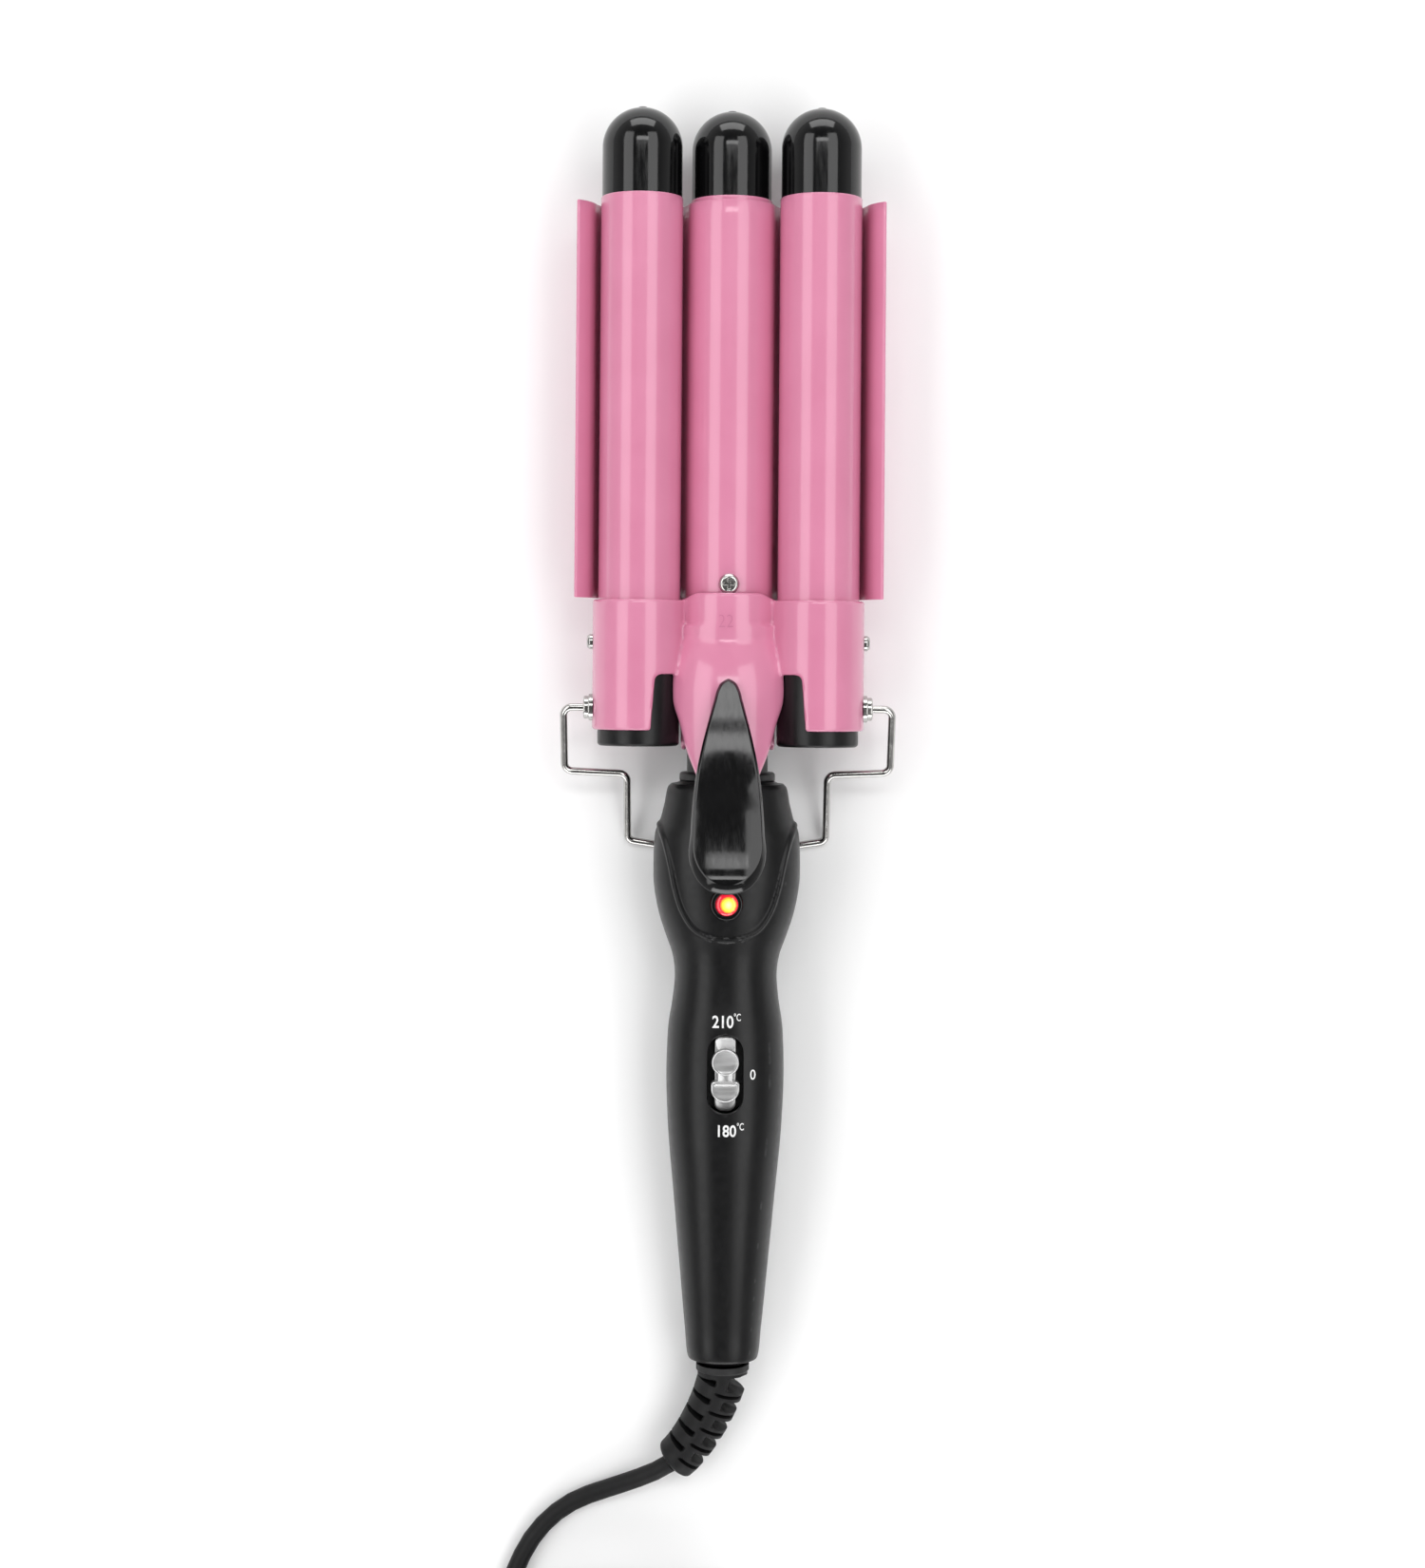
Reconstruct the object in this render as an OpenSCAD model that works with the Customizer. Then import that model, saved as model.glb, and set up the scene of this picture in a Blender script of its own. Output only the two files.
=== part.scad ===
// Three-barrel hair waver, lying on its back.
// X runs across the barrels, +Y towards the barrel tips, +Z up through the thumb lever.
// Y = 0 is the clamp pivot, Z = 0 is the surface that it lies on.

/* [Barrels] */
// Radius of each heated barrel
barrel_r = 11; // [10:0.1:11.2]
// Sideways distance from the middle barrel to an outer barrel
pitch = 24; // [23.8:0.1:24.6]
// Height of an outer barrel above the middle barrel
jaw_rise = 5; // [4.5:0.1:5.5]
// Y of the barrel tubes' front ends
barrel_end_y = 144.5; // [120:0.5:160]
// Wall of the barrel tubes
barrel_wall = 1; // [0.6:0.1:1.5]

/* [Wave plate] */
// Thickness of the wave plate
plate_t = 1; // [0.8:0.1:1.2]
// Half of the plate's width
plate_half_w = 41.5; // [40.5:0.1:42.5]
// Length of the plate
plate_len = 106; // [80:1:106]

/* [Handle] */
// Height of the neck's axis above the surface
axis_z = 15; // [15:0.1:15.5]
// Thickness of the handle shells
shell_t = 2; // [1.6:0.1:2.4]
// Height of the seam between the two shells
seam_z = 12; // [11:0.5:13]

/* [Clamp] */
// Radius of the pivot pin
pin_r = 2; // [1.5:0.1:2.5]
// Wall of the sleeves that hold the outer barrels
sleeve_wall = 1.4; // [1.2:0.1:1.5]

/* [Stand] */
// Radius of the stand wire
wire_r = 1; // [0.8:0.05:1.1]

/* [Cord] */
// Diameter of the mains cord
cord_d = 5; // [4.5:0.1:5]

/* [Hidden] */
$fn = 48;

PINK = "#e283a9";
BLACK = "#1c1c1e";
STEEL = "#b9bcc0";
BRASS = "#c9a24a";
ALU = "#c8cacc";

jaw_z = axis_z + jaw_rise;
barrel_in_r = barrel_r - barrel_wall;
barrel_back_y = 17;
tip_r = barrel_r - 0.25;
tip_centre_y = 157.8;

// Jaw curves: the plate is a ridge over the middle barrel and a trough behind each outer one.
centre_dist = norm([pitch, jaw_rise]);
jaw_tilt = atan2(jaw_rise, pitch);
ridge_r = barrel_r + 0.1;
trough_r = centre_dist - ridge_r - plate_t;
plate_y = 37.2;
lip_turn = acos((plate_half_w - plate_t / 2 - 2 * pitch) / (ridge_r + plate_t / 2));

// Casting
casting_front_y = 36.7;
arch_front_y = 38.4;
sleeve_back_y = 2;
notch_x = 19.8;
arch_in_r = 12.6;
arch_out_r = 14;
ear_in_x = 11.3;
ear_out_x = 12.6;
ear_r = 5;
pin_play = 0.04;
screw_y = 41;
barrel_screw_y = 25.5;

// Handle: [y, half width, back z, front z] from the neck to the cord end
handle_end_y = -169.8;
neck_step_y = -11.8;
neck_tail_r = barrel_r - 1.5;
handle_stations = [
    [-11.8, 14.8, 3.4, 28.6],
    [-13.2, 15.9, 2.9, 29.8],
    [-18, 16.9, 2.8, 31],
    [-22.4, 18.1, 2.8, 32],
    [-25.5, 19.3, 2.8, 32.6],
    [-31, 19.7, 2.7, 33.2],
    [-36.5, 19.7, 1.6, 33.4],
    [-42, 19.2, 0.5, 33],
    [-47.5, 18.1, -0.2, 31.8],
    [-53, 16.4, -0.6, 30.2],
    [-58.5, 14.5, -0.6, 28.7],
    [-64, 13.8, -0.6, 28],
    [-70, 14.3, -0.6, 28.3],
    [-78, 15.5, -0.6, 29.4],
    [-90, 15.9, -0.6, 30.2],
    [-104, 15.4, -0.6, 29.8],
    [-124, 13.6, -0.6, 27.3],
    [-144, 11.8, -0.6, 24],
    [-160, 10.4, -0.6, 21],
    [-168, 9.5, 0.4, 19.8],
    [handle_end_y, 7.4, 2.4, 17.6]
];
section_power = 2.3;
section_points = 28;
shell_steps = 14;
screw_spots = [[-34, 4.4], [-118, 1.6], [-146, 1.6]];
screw_shank_r = 1.3;
switch_y = -88.9;
switch_len = 21;
switch_w = 9.6;
led_y = -43.6;
led_r = 3.4;

// Lever: [y, half width, bottom z, top z]
lever_stations = [
    [15.2, 1.2, 33.6, 34.6],
    [13.5, 2.5, 33.2, 35.6],
    [7, 4.4, 33.2, 37],
    [-2, 6.7, 34.4, 38.8],
    [-10.5, 8.1, 36.6, 41.2],
    [-20, 8.8, 40, 44.8],
    [-27.5, 9, 42.8, 47.4],
    [-33.5, 8.1, 45, 48.8],
    [-37.2, 5.8, 46.2, 48.8],
    [-39.3, 2.4, 46.8, 48]
];

// Stand: half of the wire's route from its pivot rod, mirrored across X = 0
stand_pivot_y = 7.9;
boss_in_x = pitch + barrel_r + sleeve_wall + 0.02;
boss_out_x = 38.7;
rod_in_x = 36.5;
rod_out_x = 42.6;
stand_route = [
    [42.2, stand_pivot_y, 20],
    [43.4, 7.3, 19.7],
    [44, 6, 19.05],
    [44, -6.4, 12.9],
    [43.3, -8.3, 12.2],
    [41.5, -9.4, 11.7],
    [30.4, -10, 10.8],
    [28, -10.7, 10.4],
    [27.2, -12.6, 9.7],
    [27.2, -26.6, 2.85],
    [26.4, -28.6, 1.85],
    [24.4, -29.5, 1.4],
    [20, -29.7, 1.3]
];

// Cord: bend of the boot, run along the surface, tail up to the plug
cord_z = cord_d / 2;
swivel_z = 9.9;
boot_start_y = -172;
boot_route = [
    [0, boot_start_y, swivel_z],
    [0, -173.4, 9.9],
    [-0.8, -176.5, 9.6],
    [-2.4, -181, 9],
    [-5, -186.5, 8.2],
    [-8.1, -191.7, 7.4],
    [-11.2, -195.7, 6.7],
    [-14, -198.4, 6.2]
];
boot_start_r = 6.8;
boot_end_r = 5.9;
cord_route = [
    [-14, -198.4, 6.2],
    [-17.8, -200.8, 5.4],
    [-22.4, -203, 4.4],
    [-27.2, -205, 3.4],
    [-32, -206.8, 2.7],
    [-37, -208.6, cord_z],
    [-42, -211, cord_z],
    [-46.8, -214.6, cord_z],
    [-51, -219.2, cord_z],
    [-54.4, -224.8, cord_z],
    [-57.1, -231.2, cord_z],
    [-59.1, -238.4, cord_z],
    [-60.5, -246.4, cord_z],
    [-61.4, -255, cord_z],
    [-61.9, -264.2, cord_z],
    [-62, -274, cord_z]
];
coil_centre = [-27, -274];
coil_mid_r = 30;
coil_side = 7.5;
coil_h = 3 * cord_d;
tail_route = [
    [-27, -249, 17.5],
    [-32.5, -249.7, 17.7],
    [-37.6, -251.8, 18.2],
    [-41.9, -255.2, 18.8],
    [-45.2, -259.5, 19.5],
    [-47.3, -264.6, 20.1],
    [-48, -270, 20.5],
    [-48, -275, 20.5]
];
plug_pos = tail_route[len(tail_route) - 1];
plug_len = 36;
plug_w = 34;
plug_t = 11;
plug_pin_r = 2;
plug_pin_len = 19;
plug_pin_gap = 18.6;

// ---- helpers -------------------------------------------------------------------------

// Cylinder along Y from y0 to y1
module rod_y(y0, y1, r) {
    translate([0, y0, 0])
        rotate([-90, 0, 0])
            cylinder(h = y1 - y0, r = r);
}

// Cylinder along X from x0 to x1
module rod_x(x0, x1, r) {
    translate([x0, 0, 0])
        rotate([0, 90, 0])
            cylinder(h = x1 - x0, r = r);
}

// Cylinder along X on side s, from distance x0 to distance x1
module rod_out(s, x0, x1, r) {
    rod_x(min(s * x0, s * x1), max(s * x0, s * x1), r);
}

// Turned body about the Y axis: the outline's points are [radius, y]
module turned_y(outline) {
    rotate([-90, 0, 0])
        rotate_extrude()
            polygon(outline);
}

// A point of a rounded section with half sizes a and b, at angle t
function super_point(a, b, t) = [
    a * sign(cos(t)) * pow(abs(cos(t)), 2 / section_power),
    b * sign(sin(t)) * pow(abs(sin(t)), 2 / section_power)
];

// Angle at which a station's section crosses the seam between the shells
function seam_angle(s, inset) = let (
        half = (s[3] - s[2]) / 2 - inset,
        v = (seam_z - (s[2] + s[3]) / 2) / half)
    asin(sign(v) * pow(abs(v), section_power / 2));

// Points of a station's section from angle t0 to angle t1
function section_arc(s, inset, t0, t1) = [for (i = [0:shell_steps])
    let (p = super_point(s[1] - inset, (s[3] - s[2]) / 2 - inset, t0 + (t1 - t0) * i / shell_steps))
    [p[0], s[0], (s[2] + s[3]) / 2 + p[1]]];

// C-shaped section of one handle shell, above the seam or below it
function shell_ring(s, above) = let (
        outer = seam_angle(s, 0),
        inner = seam_angle(s, shell_t))
    above
        ? concat(section_arc(s, 0, outer, 180 - outer),
            section_arc(s, shell_t, 180 - inner, inner))
        : concat(section_arc(s, 0, 180 - outer, 360 + outer),
            section_arc(s, shell_t, 360 + inner, 180 - inner));

// Side triangles between neighbouring rings of n points
function side_faces(rings, n) = concat(
    [for (k = [0:rings - 2], i = [0:n - 1])
        [k * n + i, k * n + (i + 1) % n, (k + 1) * n + i]],
    [for (k = [0:rings - 2], i = [0:n - 1])
        [k * n + (i + 1) % n, (k + 1) * n + (i + 1) % n, (k + 1) * n + i]]
);

// Closed skin through equal rings of points
module skin(rings) {
    n = len(rings[0]);
    last = (len(rings) - 1) * n;
    polyhedron(
        points = [for (ring = rings) each ring],
        faces = concat(
            [[for (i = [n - 1:-1:0]) i]],
            [[for (i = [0:n - 1]) last + i]],
            side_faces(len(rings), n)
        )
    );
}

// The same for C-shaped rings, whose ends are closed by a strip from outside to inside
module open_skin(rings) {
    n = len(rings[0]);
    last = (len(rings) - 1) * n;
    polyhedron(
        points = [for (ring = rings) each ring],
        faces = concat(
            [for (i = [0:n / 2 - 2]) each [[i + 1, i, n - 1 - i], [i + 1, n - 1 - i, n - 2 - i]]],
            [for (i = [0:n / 2 - 2]) each [
                [last + i, last + i + 1, last + n - 1 - i],
                [last + n - 1 - i, last + i + 1, last + n - 2 - i]
            ]],
            side_faces(len(rings), n)
        )
    );
}

// Loft along Y through stations [y, half width, bottom z, top z], shrunk by inset
module loft_y(stations, inset = 0) {
    skin([for (s = stations) let (mid = (s[2] + s[3]) / 2, half = (s[3] - s[2]) / 2)
        [for (i = [0:section_points - 1])
            let (p = super_point(s[1] - inset, half - inset, 360 * i / section_points))
            [p[0], s[0], mid + p[1]]]]);
}

// Tube of radius r0 at the start and r1 at the end, swept along a route
module sweep(route, r0, r1, sides = 10) {
    last = len(route) - 1;
    skin([for (k = [0:last]) let (
            ahead = route[min(k + 1, last)] - route[max(k - 1, 0)],
            dir = ahead / norm(ahead),
            flat = cross(dir, abs(dir[2]) > 0.8 ? [0, 1, 0] : [0, 0, 1]),
            side = flat / norm(flat),
            up = cross(side, dir),
            r = r0 + (r1 - r0) * k / last)
        [for (i = [0:sides - 1]) let (a = 360 * i / sides)
            route[k] + r * (cos(a) * side + sin(a) * up)]]);
}

// Pan head with a cross recess, its top at z = h
module cross_head(r, h) {
    difference() {
        cylinder(h = h, r1 = r, r2 = r * 0.8);
        for (a = [0, 90])
            rotate([0, 0, a])
                translate([-r * 0.6, -r * 0.12, h * 0.45])
                    cube([r * 1.2, r * 0.24, h]);
    }
}

// Prism with round ends: half width r, straight part 2 * reach long
module slot_prism(r, reach, h) {
    steps = 12;
    linear_extrude(h)
        polygon([for (end = [0, 1], i = [0:steps]) let (a = 180 * (end + i / steps))
            [r * cos(a), (end == 0 ? reach : -reach) + r * sin(a)]]);
}

// The two outer places, left then right
module at_jaw(side) {
    translate([side * pitch, 0, jaw_z])
        children();
}

// ---- handle and fixed jaw ------------------------------------------------------------

module handle_shell(above) {
    open_skin([for (s = handle_stations) shell_ring(s, above)]);
}

module slot_cut() {
    translate([0, switch_y, 20])
        slot_prism(switch_w / 2, (switch_len - switch_w) / 2, 20);
}

module handle_front_shell() {
    color(BLACK)
        difference() {
            handle_shell(true);
            translate([0, led_y, 20])
                cylinder(h = 20, r = led_r + 0.8);
            slot_cut();
        }
}

module handle_rear_shell() {
    color(BLACK)
        difference() {
            handle_shell(false);
            translate([-30, -200, -5])
                cube([60, 200, 5]);
            for (spot = screw_spots)
                translate([0, spot[0], -1])
                    cylinder(h = 6, r = 2.4);
        }
}

// Plate that closes an open end of the two shells
module end_wall(stations, hole_z, hole_r) {
    difference() {
        loft_y(stations, shell_t + 0.1);
        translate([0, 0, hole_z])
            rod_y(handle_end_y - 5, 0, hole_r);
    }
}

module neck_bulkhead() {
    color(BLACK)
        end_wall([for (i = [0:2]) handle_stations[i]], axis_z, neck_tail_r);
}

module cord_bulkhead() {
    last = len(handle_stations) - 1;
    color(BLACK)
        end_wall([for (i = [last - 1:last]) handle_stations[i]], swivel_z, 5.04);
}

// Posts that the screws draw the two shells together on
module screw_posts() {
    color(BLACK)
        for (spot = screw_spots)
            translate([0, spot[0], spot[1] + 0.7])
                difference() {
                    cylinder(h = 16, r = 3);
                    translate([0, 0, -1])
                        cylinder(h = 19, r = screw_shank_r);
                }
}

module handle_screws() {
    color(STEEL)
        for (spot = screw_spots)
            translate([0, spot[0], spot[1]]) {
                cylinder(h = 13, r = screw_shank_r);
                rotate([180, 0, 0])
                    cross_head(2.2, 1.2);
            }
}

module neck_tube() {
    color(BLACK)
        translate([0, 0, axis_z])
            difference() {
                union() {
                    rod_y(neck_step_y, barrel_back_y, barrel_r);
                    rod_y(-30, neck_step_y, neck_tail_r);
                    rod_y(barrel_back_y, barrel_back_y + 12, barrel_in_r);
                }
                rod_y(-31, barrel_back_y + 13, neck_tail_r - 0.9);
                rod_x(-20, 20, pin_r);
                translate([-1.6, -9, 0])
                    cube([3.2, 6.5, 20]);
            }
}

module front_collar() {
    color(BLACK)
        translate([0, 0, axis_z])
            turned_y([
                [barrel_r, -11.7], [12.4, -11.7], [12.9, -11.2], [12.9, -9.8],
                [12.4, -9.3], [barrel_r, -9.3]
            ]);
}

module barrel_shell() {
    difference() {
        rod_y(barrel_back_y, barrel_end_y, barrel_r);
        rod_y(barrel_back_y - 1, barrel_end_y + 1, barrel_in_r);
    }
}

// Black cap with a spigot inside the tube, a round nose and a small flat pip
module barrel_cap() {
    arc_steps = 12;
    turned_y(concat(
        [[0, barrel_end_y - 6], [barrel_in_r - 0.1, barrel_end_y - 6],
            [barrel_in_r - 0.1, barrel_end_y], [tip_r, barrel_end_y]],
        [for (i = [0:arc_steps - 1]) let (a = 90 * i / arc_steps)
            [tip_r * cos(a), tip_centre_y + tip_r * sin(a)]],
        [[1.2, tip_centre_y + tip_r - 0.1], [1.2, tip_centre_y + tip_r + 0.3],
            [0, tip_centre_y + tip_r + 0.3]]
    ));
}

// Ceramic heating plate between two half-round spreaders, each with a hole along it
module heater() {
    plate_half = 1.5;
    spreader_r = barrel_in_r - 0.3;
    difference() {
        rod_y(46, 134, spreader_r);
        for (s = [-1, 1]) {
            translate([s * 7 - 4, 45, -plate_half])
                cube([8, 90, 2 * plate_half]);
            translate([0, 0, s * 5.6])
                rod_y(45, 135, 3);
        }
    }
}

module middle_barrel() {
    color(PINK)
        translate([0, 0, axis_z])
            difference() {
                barrel_shell();
                translate([0, screw_y, 0])
                    cylinder(h = 20, r = screw_shank_r);
            }
}

module middle_tip() {
    color(BLACK)
        translate([0, 0, axis_z])
            barrel_cap();
}

module middle_heater() {
    color(ALU)
        translate([0, 0, axis_z])
            heater();
}

// Points on a circle of radius r about c, from angle a0 to angle a1
function arc(c, r, a0, a1, steps) = [for (i = [0:steps]) let (a = a0 + (a1 - a0) * i / steps)
    c + r * [cos(a), sin(a)]];

// Right half of one face of the plate, from the top of the ridge to the lip;
// up is 1 for the face that meets the hair and 0 for the back
function plate_face(up) = concat(
    arc([0, axis_z], ridge_r + up * plate_t, 90, jaw_tilt, 12),
    arc([pitch, jaw_z], trough_r + (1 - up) * plate_t, 180 + jaw_tilt, 360 - jaw_tilt, 22),
    arc([2 * pitch, axis_z], ridge_r + up * plate_t, 180 - jaw_tilt, lip_turn, 7));

function turned_back(list) = [for (i = [len(list) - 1:-1:0]) list[i]];

function mirrored(list) = [for (p = list) [-p[0], p[1]]];

module wave_plate() {
    top = plate_face(1);
    under = plate_face(0);
    color(PINK)
        difference() {
            translate([0, plate_y + plate_len, 0])
                rotate([90, 0, 0])
                    linear_extrude(plate_len)
                        polygon(concat(turned_back(mirrored(top)), top, turned_back(under),
                            mirrored(under)));
            translate([0, screw_y, axis_z])
                cylinder(h = 20, r = screw_shank_r);
        }
}

module plate_screw() {
    color(STEEL)
        translate([0, screw_y, 0]) {
            translate([0, 0, axis_z + ridge_r + plate_t - 0.25])
                cross_head(2.1, 1.5);
            translate([0, 0, axis_z + 6])
                cylinder(h = ridge_r + plate_t - 6, r = screw_shank_r);
        }
}

module pivot_pin() {
    color(STEEL)
        translate([0, 0, axis_z])
            rod_x(-ear_out_x, ear_out_x, pin_r);
}

// Coils around the pin, with one leg braced against the neck's floor
module clamp_spring() {
    turns = 8;
    wire = 1;
    coil_r = 3.4;
    color(STEEL)
        translate([0, 0, axis_z]) {
            for (s = [-1, 1])
                translate([s * 5, 0, 0])
                    rotate([0, 90, 0])
                        rotate_extrude()
                            translate([coil_r, 0])
                                for (i = [0:turns / 2 - 1])
                                    translate([0, (i - 1.5) * wire * 0.94])
                                        circle(r = wire / 2, $fn = 24);
            for (s = [-1, 1])
                translate([s * 5, 0, -coil_r])
                    rotate([105, 0, 0])
                        cylinder(h = 8, r = wire / 2);
        }
}

module led_lens() {
    color("red")
        translate([0, led_y, 0]) {
            translate([0, 0, 27])
                cylinder(h = 6, r = led_r - 0.4);
            translate([0, 0, 33])
                intersection() {
                    translate([0, 0, -3.2])
                        sphere(r = 4.4);
                    cylinder(h = 2, r = led_r - 0.4);
                }
        }
}

module led_bezel() {
    color(BLACK)
        translate([0, led_y, 0])
            difference() {
                translate([0, 0, 28])
                    cylinder(h = 5.3, r = led_r + 0.8);
                translate([0, 0, 26])
                    cylinder(h = 10, r = led_r - 0.4);
            }
}

module circuit_board() {
    color("darkgreen")
        translate([-8, -104, 17])
            cube([16, 66, 1.6]);
}

module switch_body() {
    color("dimgray")
        translate([-5, switch_y - 9, 18.6])
            cube([10, 18, 6]);
}

// Bright guide plate under the slider, seen at both ends of the slot
module switch_guide() {
    r = switch_w / 2 - 1.1;
    color(ALU)
        translate([0, switch_y, 24.6])
            slot_prism(r, (switch_len - switch_w) / 2, 3.4);
}

// Slider with a round thumb pad above and a wide one below
module switch_slider() {
    color("silver")
        translate([0, switch_y, 28]) {
            translate([0, 3.1, 0])
                cylinder(h = 3, r = 3.5);
            translate([-2.6, -4, 0])
                cube([5.2, 6, 2]);
            translate([0, -4.4, 0])
                slot_prism_x(2.8, 0.9, 3);
        }
}

// The same prism with its straight part along X
module slot_prism_x(r, reach, h) {
    rotate([0, 0, 90])
        slot_prism(r, reach, h);
}

// Two wires from the board to the barrels and two to the swivel contacts
module inner_leads() {
    lead_r = 0.8;
    color("firebrick")
        for (s = [-1, 1]) {
            translate([s * 4.5, 0, axis_z + 6])
                rod_y(-60, 44, lead_r);
            translate([s * 4.5, 0, swivel_z])
                rod_y(-148, -110, lead_r);
        }
}

module contact_brushes() {
    color(BRASS)
        for (y = [-159, -155])
            translate([-3, y - 1, swivel_z + 4.1])
                cube([6, 2, 0.6]);
}

// ---- clamp ---------------------------------------------------------------------------

module clamp_casting() {
    bore_r = barrel_r + 0.04;
    color(PINK)
        difference() {
            union() {
                for (s = [-1, 1])
                    at_jaw(s)
                        rod_y(sleeve_back_y, casting_front_y, barrel_r + sleeve_wall);
                translate([0, 0, axis_z])
                    intersection() {
                        rod_y(barrel_back_y, arch_front_y, arch_out_r);
                        translate([-12.4, 0, 0])
                            cube([24.8, 60, 20]);
                    }
                dome();
                ears();
            }
            for (s = [-1, 1]) {
                at_jaw(s)
                    rod_y(-20, 60, bore_r);
                notch(s);
            }
            translate([0, 0, axis_z]) {
                rod_y(barrel_back_y - 1, 60, arch_in_r);
                rod_y(-20, barrel_back_y - 1, ear_in_x);
                rod_x(-20, 20, pin_r + pin_play);
            }
            tongue_clearance();
            for (s = [-1, 1])
                at_jaw(s)
                    translate([0, barrel_screw_y, 0])
                        rod_out(s, 0, 20, screw_shank_r);
            translate([0, -5.5, 20])
                cylinder(h = 30, r = screw_shank_r);
        }
}

// Opening between a sleeve and the dome, where the end plug shows
module notch(s) {
    mirror([s > 0 ? 0 : 1, 0, 0]) {
        translate([15.2, -5, 0])
            cube([notch_x - 15.2, 20, 60]);
        translate([(15.2 + notch_x) / 2, 15, 0])
            cylinder(h = 60, r = (notch_x - 15.2) / 2);
        translate([0, -5, 0])
            cube([notch_x, 20, jaw_z]);
    }
}

// Raised shield over the pivot that narrows into the tongue under the lever
module dome() {
    slice_t = 0.4;
    hull() {
        translate([0, 26, axis_z])
            rod_y(0, slice_t, 13.4, $fn = 32);
        translate([0, 15, axis_z + 2.6])
            rod_y(0, slice_t, 15.6, $fn = 32);
        translate([0, 2, axis_z + 5.2])
            rod_y(0, slice_t, 13, $fn = 32);
        translate([0, -3, axis_z + 8.4])
            rod_y(0, slice_t, 11.2, $fn = 32);
        translate([-8.2, -10.7, axis_z + 19])
            cube([16.4, slice_t, 2.4]);
    }
}

module ears() {
    translate([0, 0, axis_z])
        rod_x(-ear_out_x, ear_out_x, ear_r);
    translate([-ear_out_x, -ear_r, axis_z])
        cube([2 * ear_out_x, 2 * ear_r, 8]);
}

// Room under the tongue for the neck, the collar and the handle when the clamp opens
module tongue_clearance() {
    rotate([90, 0, 90])
        translate([0, 0, -ear_in_x])
            linear_extrude(2 * ear_in_x)
                polygon([
                    [-20, 0], [18, 0], [18, axis_z], [10, axis_z], [0, axis_z + 11.8],
                    [-4, axis_z + 13.6], [-11, axis_z + 19.5], [-20, axis_z + 19.5]
                ]);
    translate([-20, -20, 0])
        cube([40, 20 - ear_r, axis_z + 12.6]);
    translate([-20, -10, 0])
        cube([40, 60, axis_z - ear_r]);
}

module thumb_lever() {
    color(BLACK)
        difference() {
            loft_y(lever_stations);
            dome_room();
            translate([0, -5.5, 20])
                cylinder(h = 17.5, r = screw_shank_r);
        }
}

// The lever is hollowed underneath where it sits on the dome
module dome_room() {
    hull() {
        for (y = [16, 2])
            translate([-12, y, 30])
                cube([24, 0.2, y > 10 ? 4.2 : 4.9]);
        translate([-12, -12, 30])
            cube([24, 0.2, axis_z + 21.6 - 30]);
    }
}

module lever_screw() {
    color(STEEL)
        translate([0, -5.5, 0]) {
            translate([0, 0, 31])
                cylinder(h = 6.2, r = screw_shank_r);
        }
}

module outer_barrel(s) {
    color(PINK)
        at_jaw(s)
            difference() {
                barrel_shell();
                translate([0, barrel_screw_y, 0])
                    rod_out(s, 0, 20, screw_shank_r);
            }
}

module outer_tip(s) {
    color(BLACK)
        at_jaw(s)
            barrel_cap();
}

module outer_heater(s) {
    color(ALU)
        at_jaw(s)
            heater();
}

// Plug that closes a barrel's rear end, with a spigot inside the tube
module end_plug(s) {
    spigot_r = barrel_in_r - 0.05;
    color(BLACK)
        at_jaw(s)
            turned_y([
                [0, -2.3], [barrel_r - 1, -2.3], [barrel_r, -1.3], [barrel_r, barrel_back_y],
                [spigot_r, barrel_back_y], [spigot_r, barrel_back_y + 5], [0, barrel_back_y + 5]
            ]);
}

module left_barrel() { outer_barrel(-1); }
module right_barrel() { outer_barrel(1); }
module left_tip() { outer_tip(-1); }
module right_tip() { outer_tip(1); }
module left_heater() { outer_heater(-1); }
module right_heater() { outer_heater(1); }
module left_end_plug() { end_plug(-1); }
module right_end_plug() { end_plug(1); }

module barrel_screws() {
    color(STEEL)
        for (s = [-1, 1])
            translate([s * (pitch + barrel_r + sleeve_wall), barrel_screw_y, jaw_z])
                rotate([0, s * 90, 0]) {
                    cross_head(2, 1.6);
                    translate([0, 0, -4])
                        cylinder(h = 4, r = screw_shank_r);
                }
}

module stand_bosses() {
    color(STEEL)
        for (s = [-1, 1])
            translate([0, stand_pivot_y, jaw_z])
                difference() {
                    rod_out(s, boss_in_x, boss_out_x, 3.6);
                    rod_out(s, boss_in_x - 1, boss_out_x + 1, wire_r + 0.05);
                }
}

// ---- stand ---------------------------------------------------------------------------

module stand_wire() {
    half = stand_route;
    other = [for (i = [len(half) - 2:-1:0]) [-half[i][0], half[i][1], half[i][2]]];
    color(STEEL) {
        sweep(concat(half, other), wire_r, wire_r, 10);
        for (s = [-1, 1])
            translate([0, stand_pivot_y, jaw_z])
                rod_out(s, rod_in_x, rod_out_x, wire_r);
    }
}

// ---- swivel, cord and plug -----------------------------------------------------------

module swivel_core() {
    wall_in_y = handle_stations[len(handle_stations) - 2][0];
    color(BLACK)
        translate([0, 0, swivel_z])
            turned_y([
                [0, boot_start_y + 0.02], [6.8, boot_start_y + 0.02],
                [7.2, boot_start_y + 0.5], [7.2, handle_end_y - 0.2],
                [5, handle_end_y - 0.2], [5, wall_in_y + 0.2], [6, wall_in_y + 0.2],
                [6, wall_in_y + 2.2], [3, wall_in_y + 2.2], [3, -150], [0, -150]
            ]);
}

module contact_rings() {
    color(BRASS)
        translate([0, 0, swivel_z])
            for (y = [-159, -155])
                difference() {
                    rod_y(y - 1, y + 1, 4);
                    rod_y(y - 2, y + 2, 3);
                }
}

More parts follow.
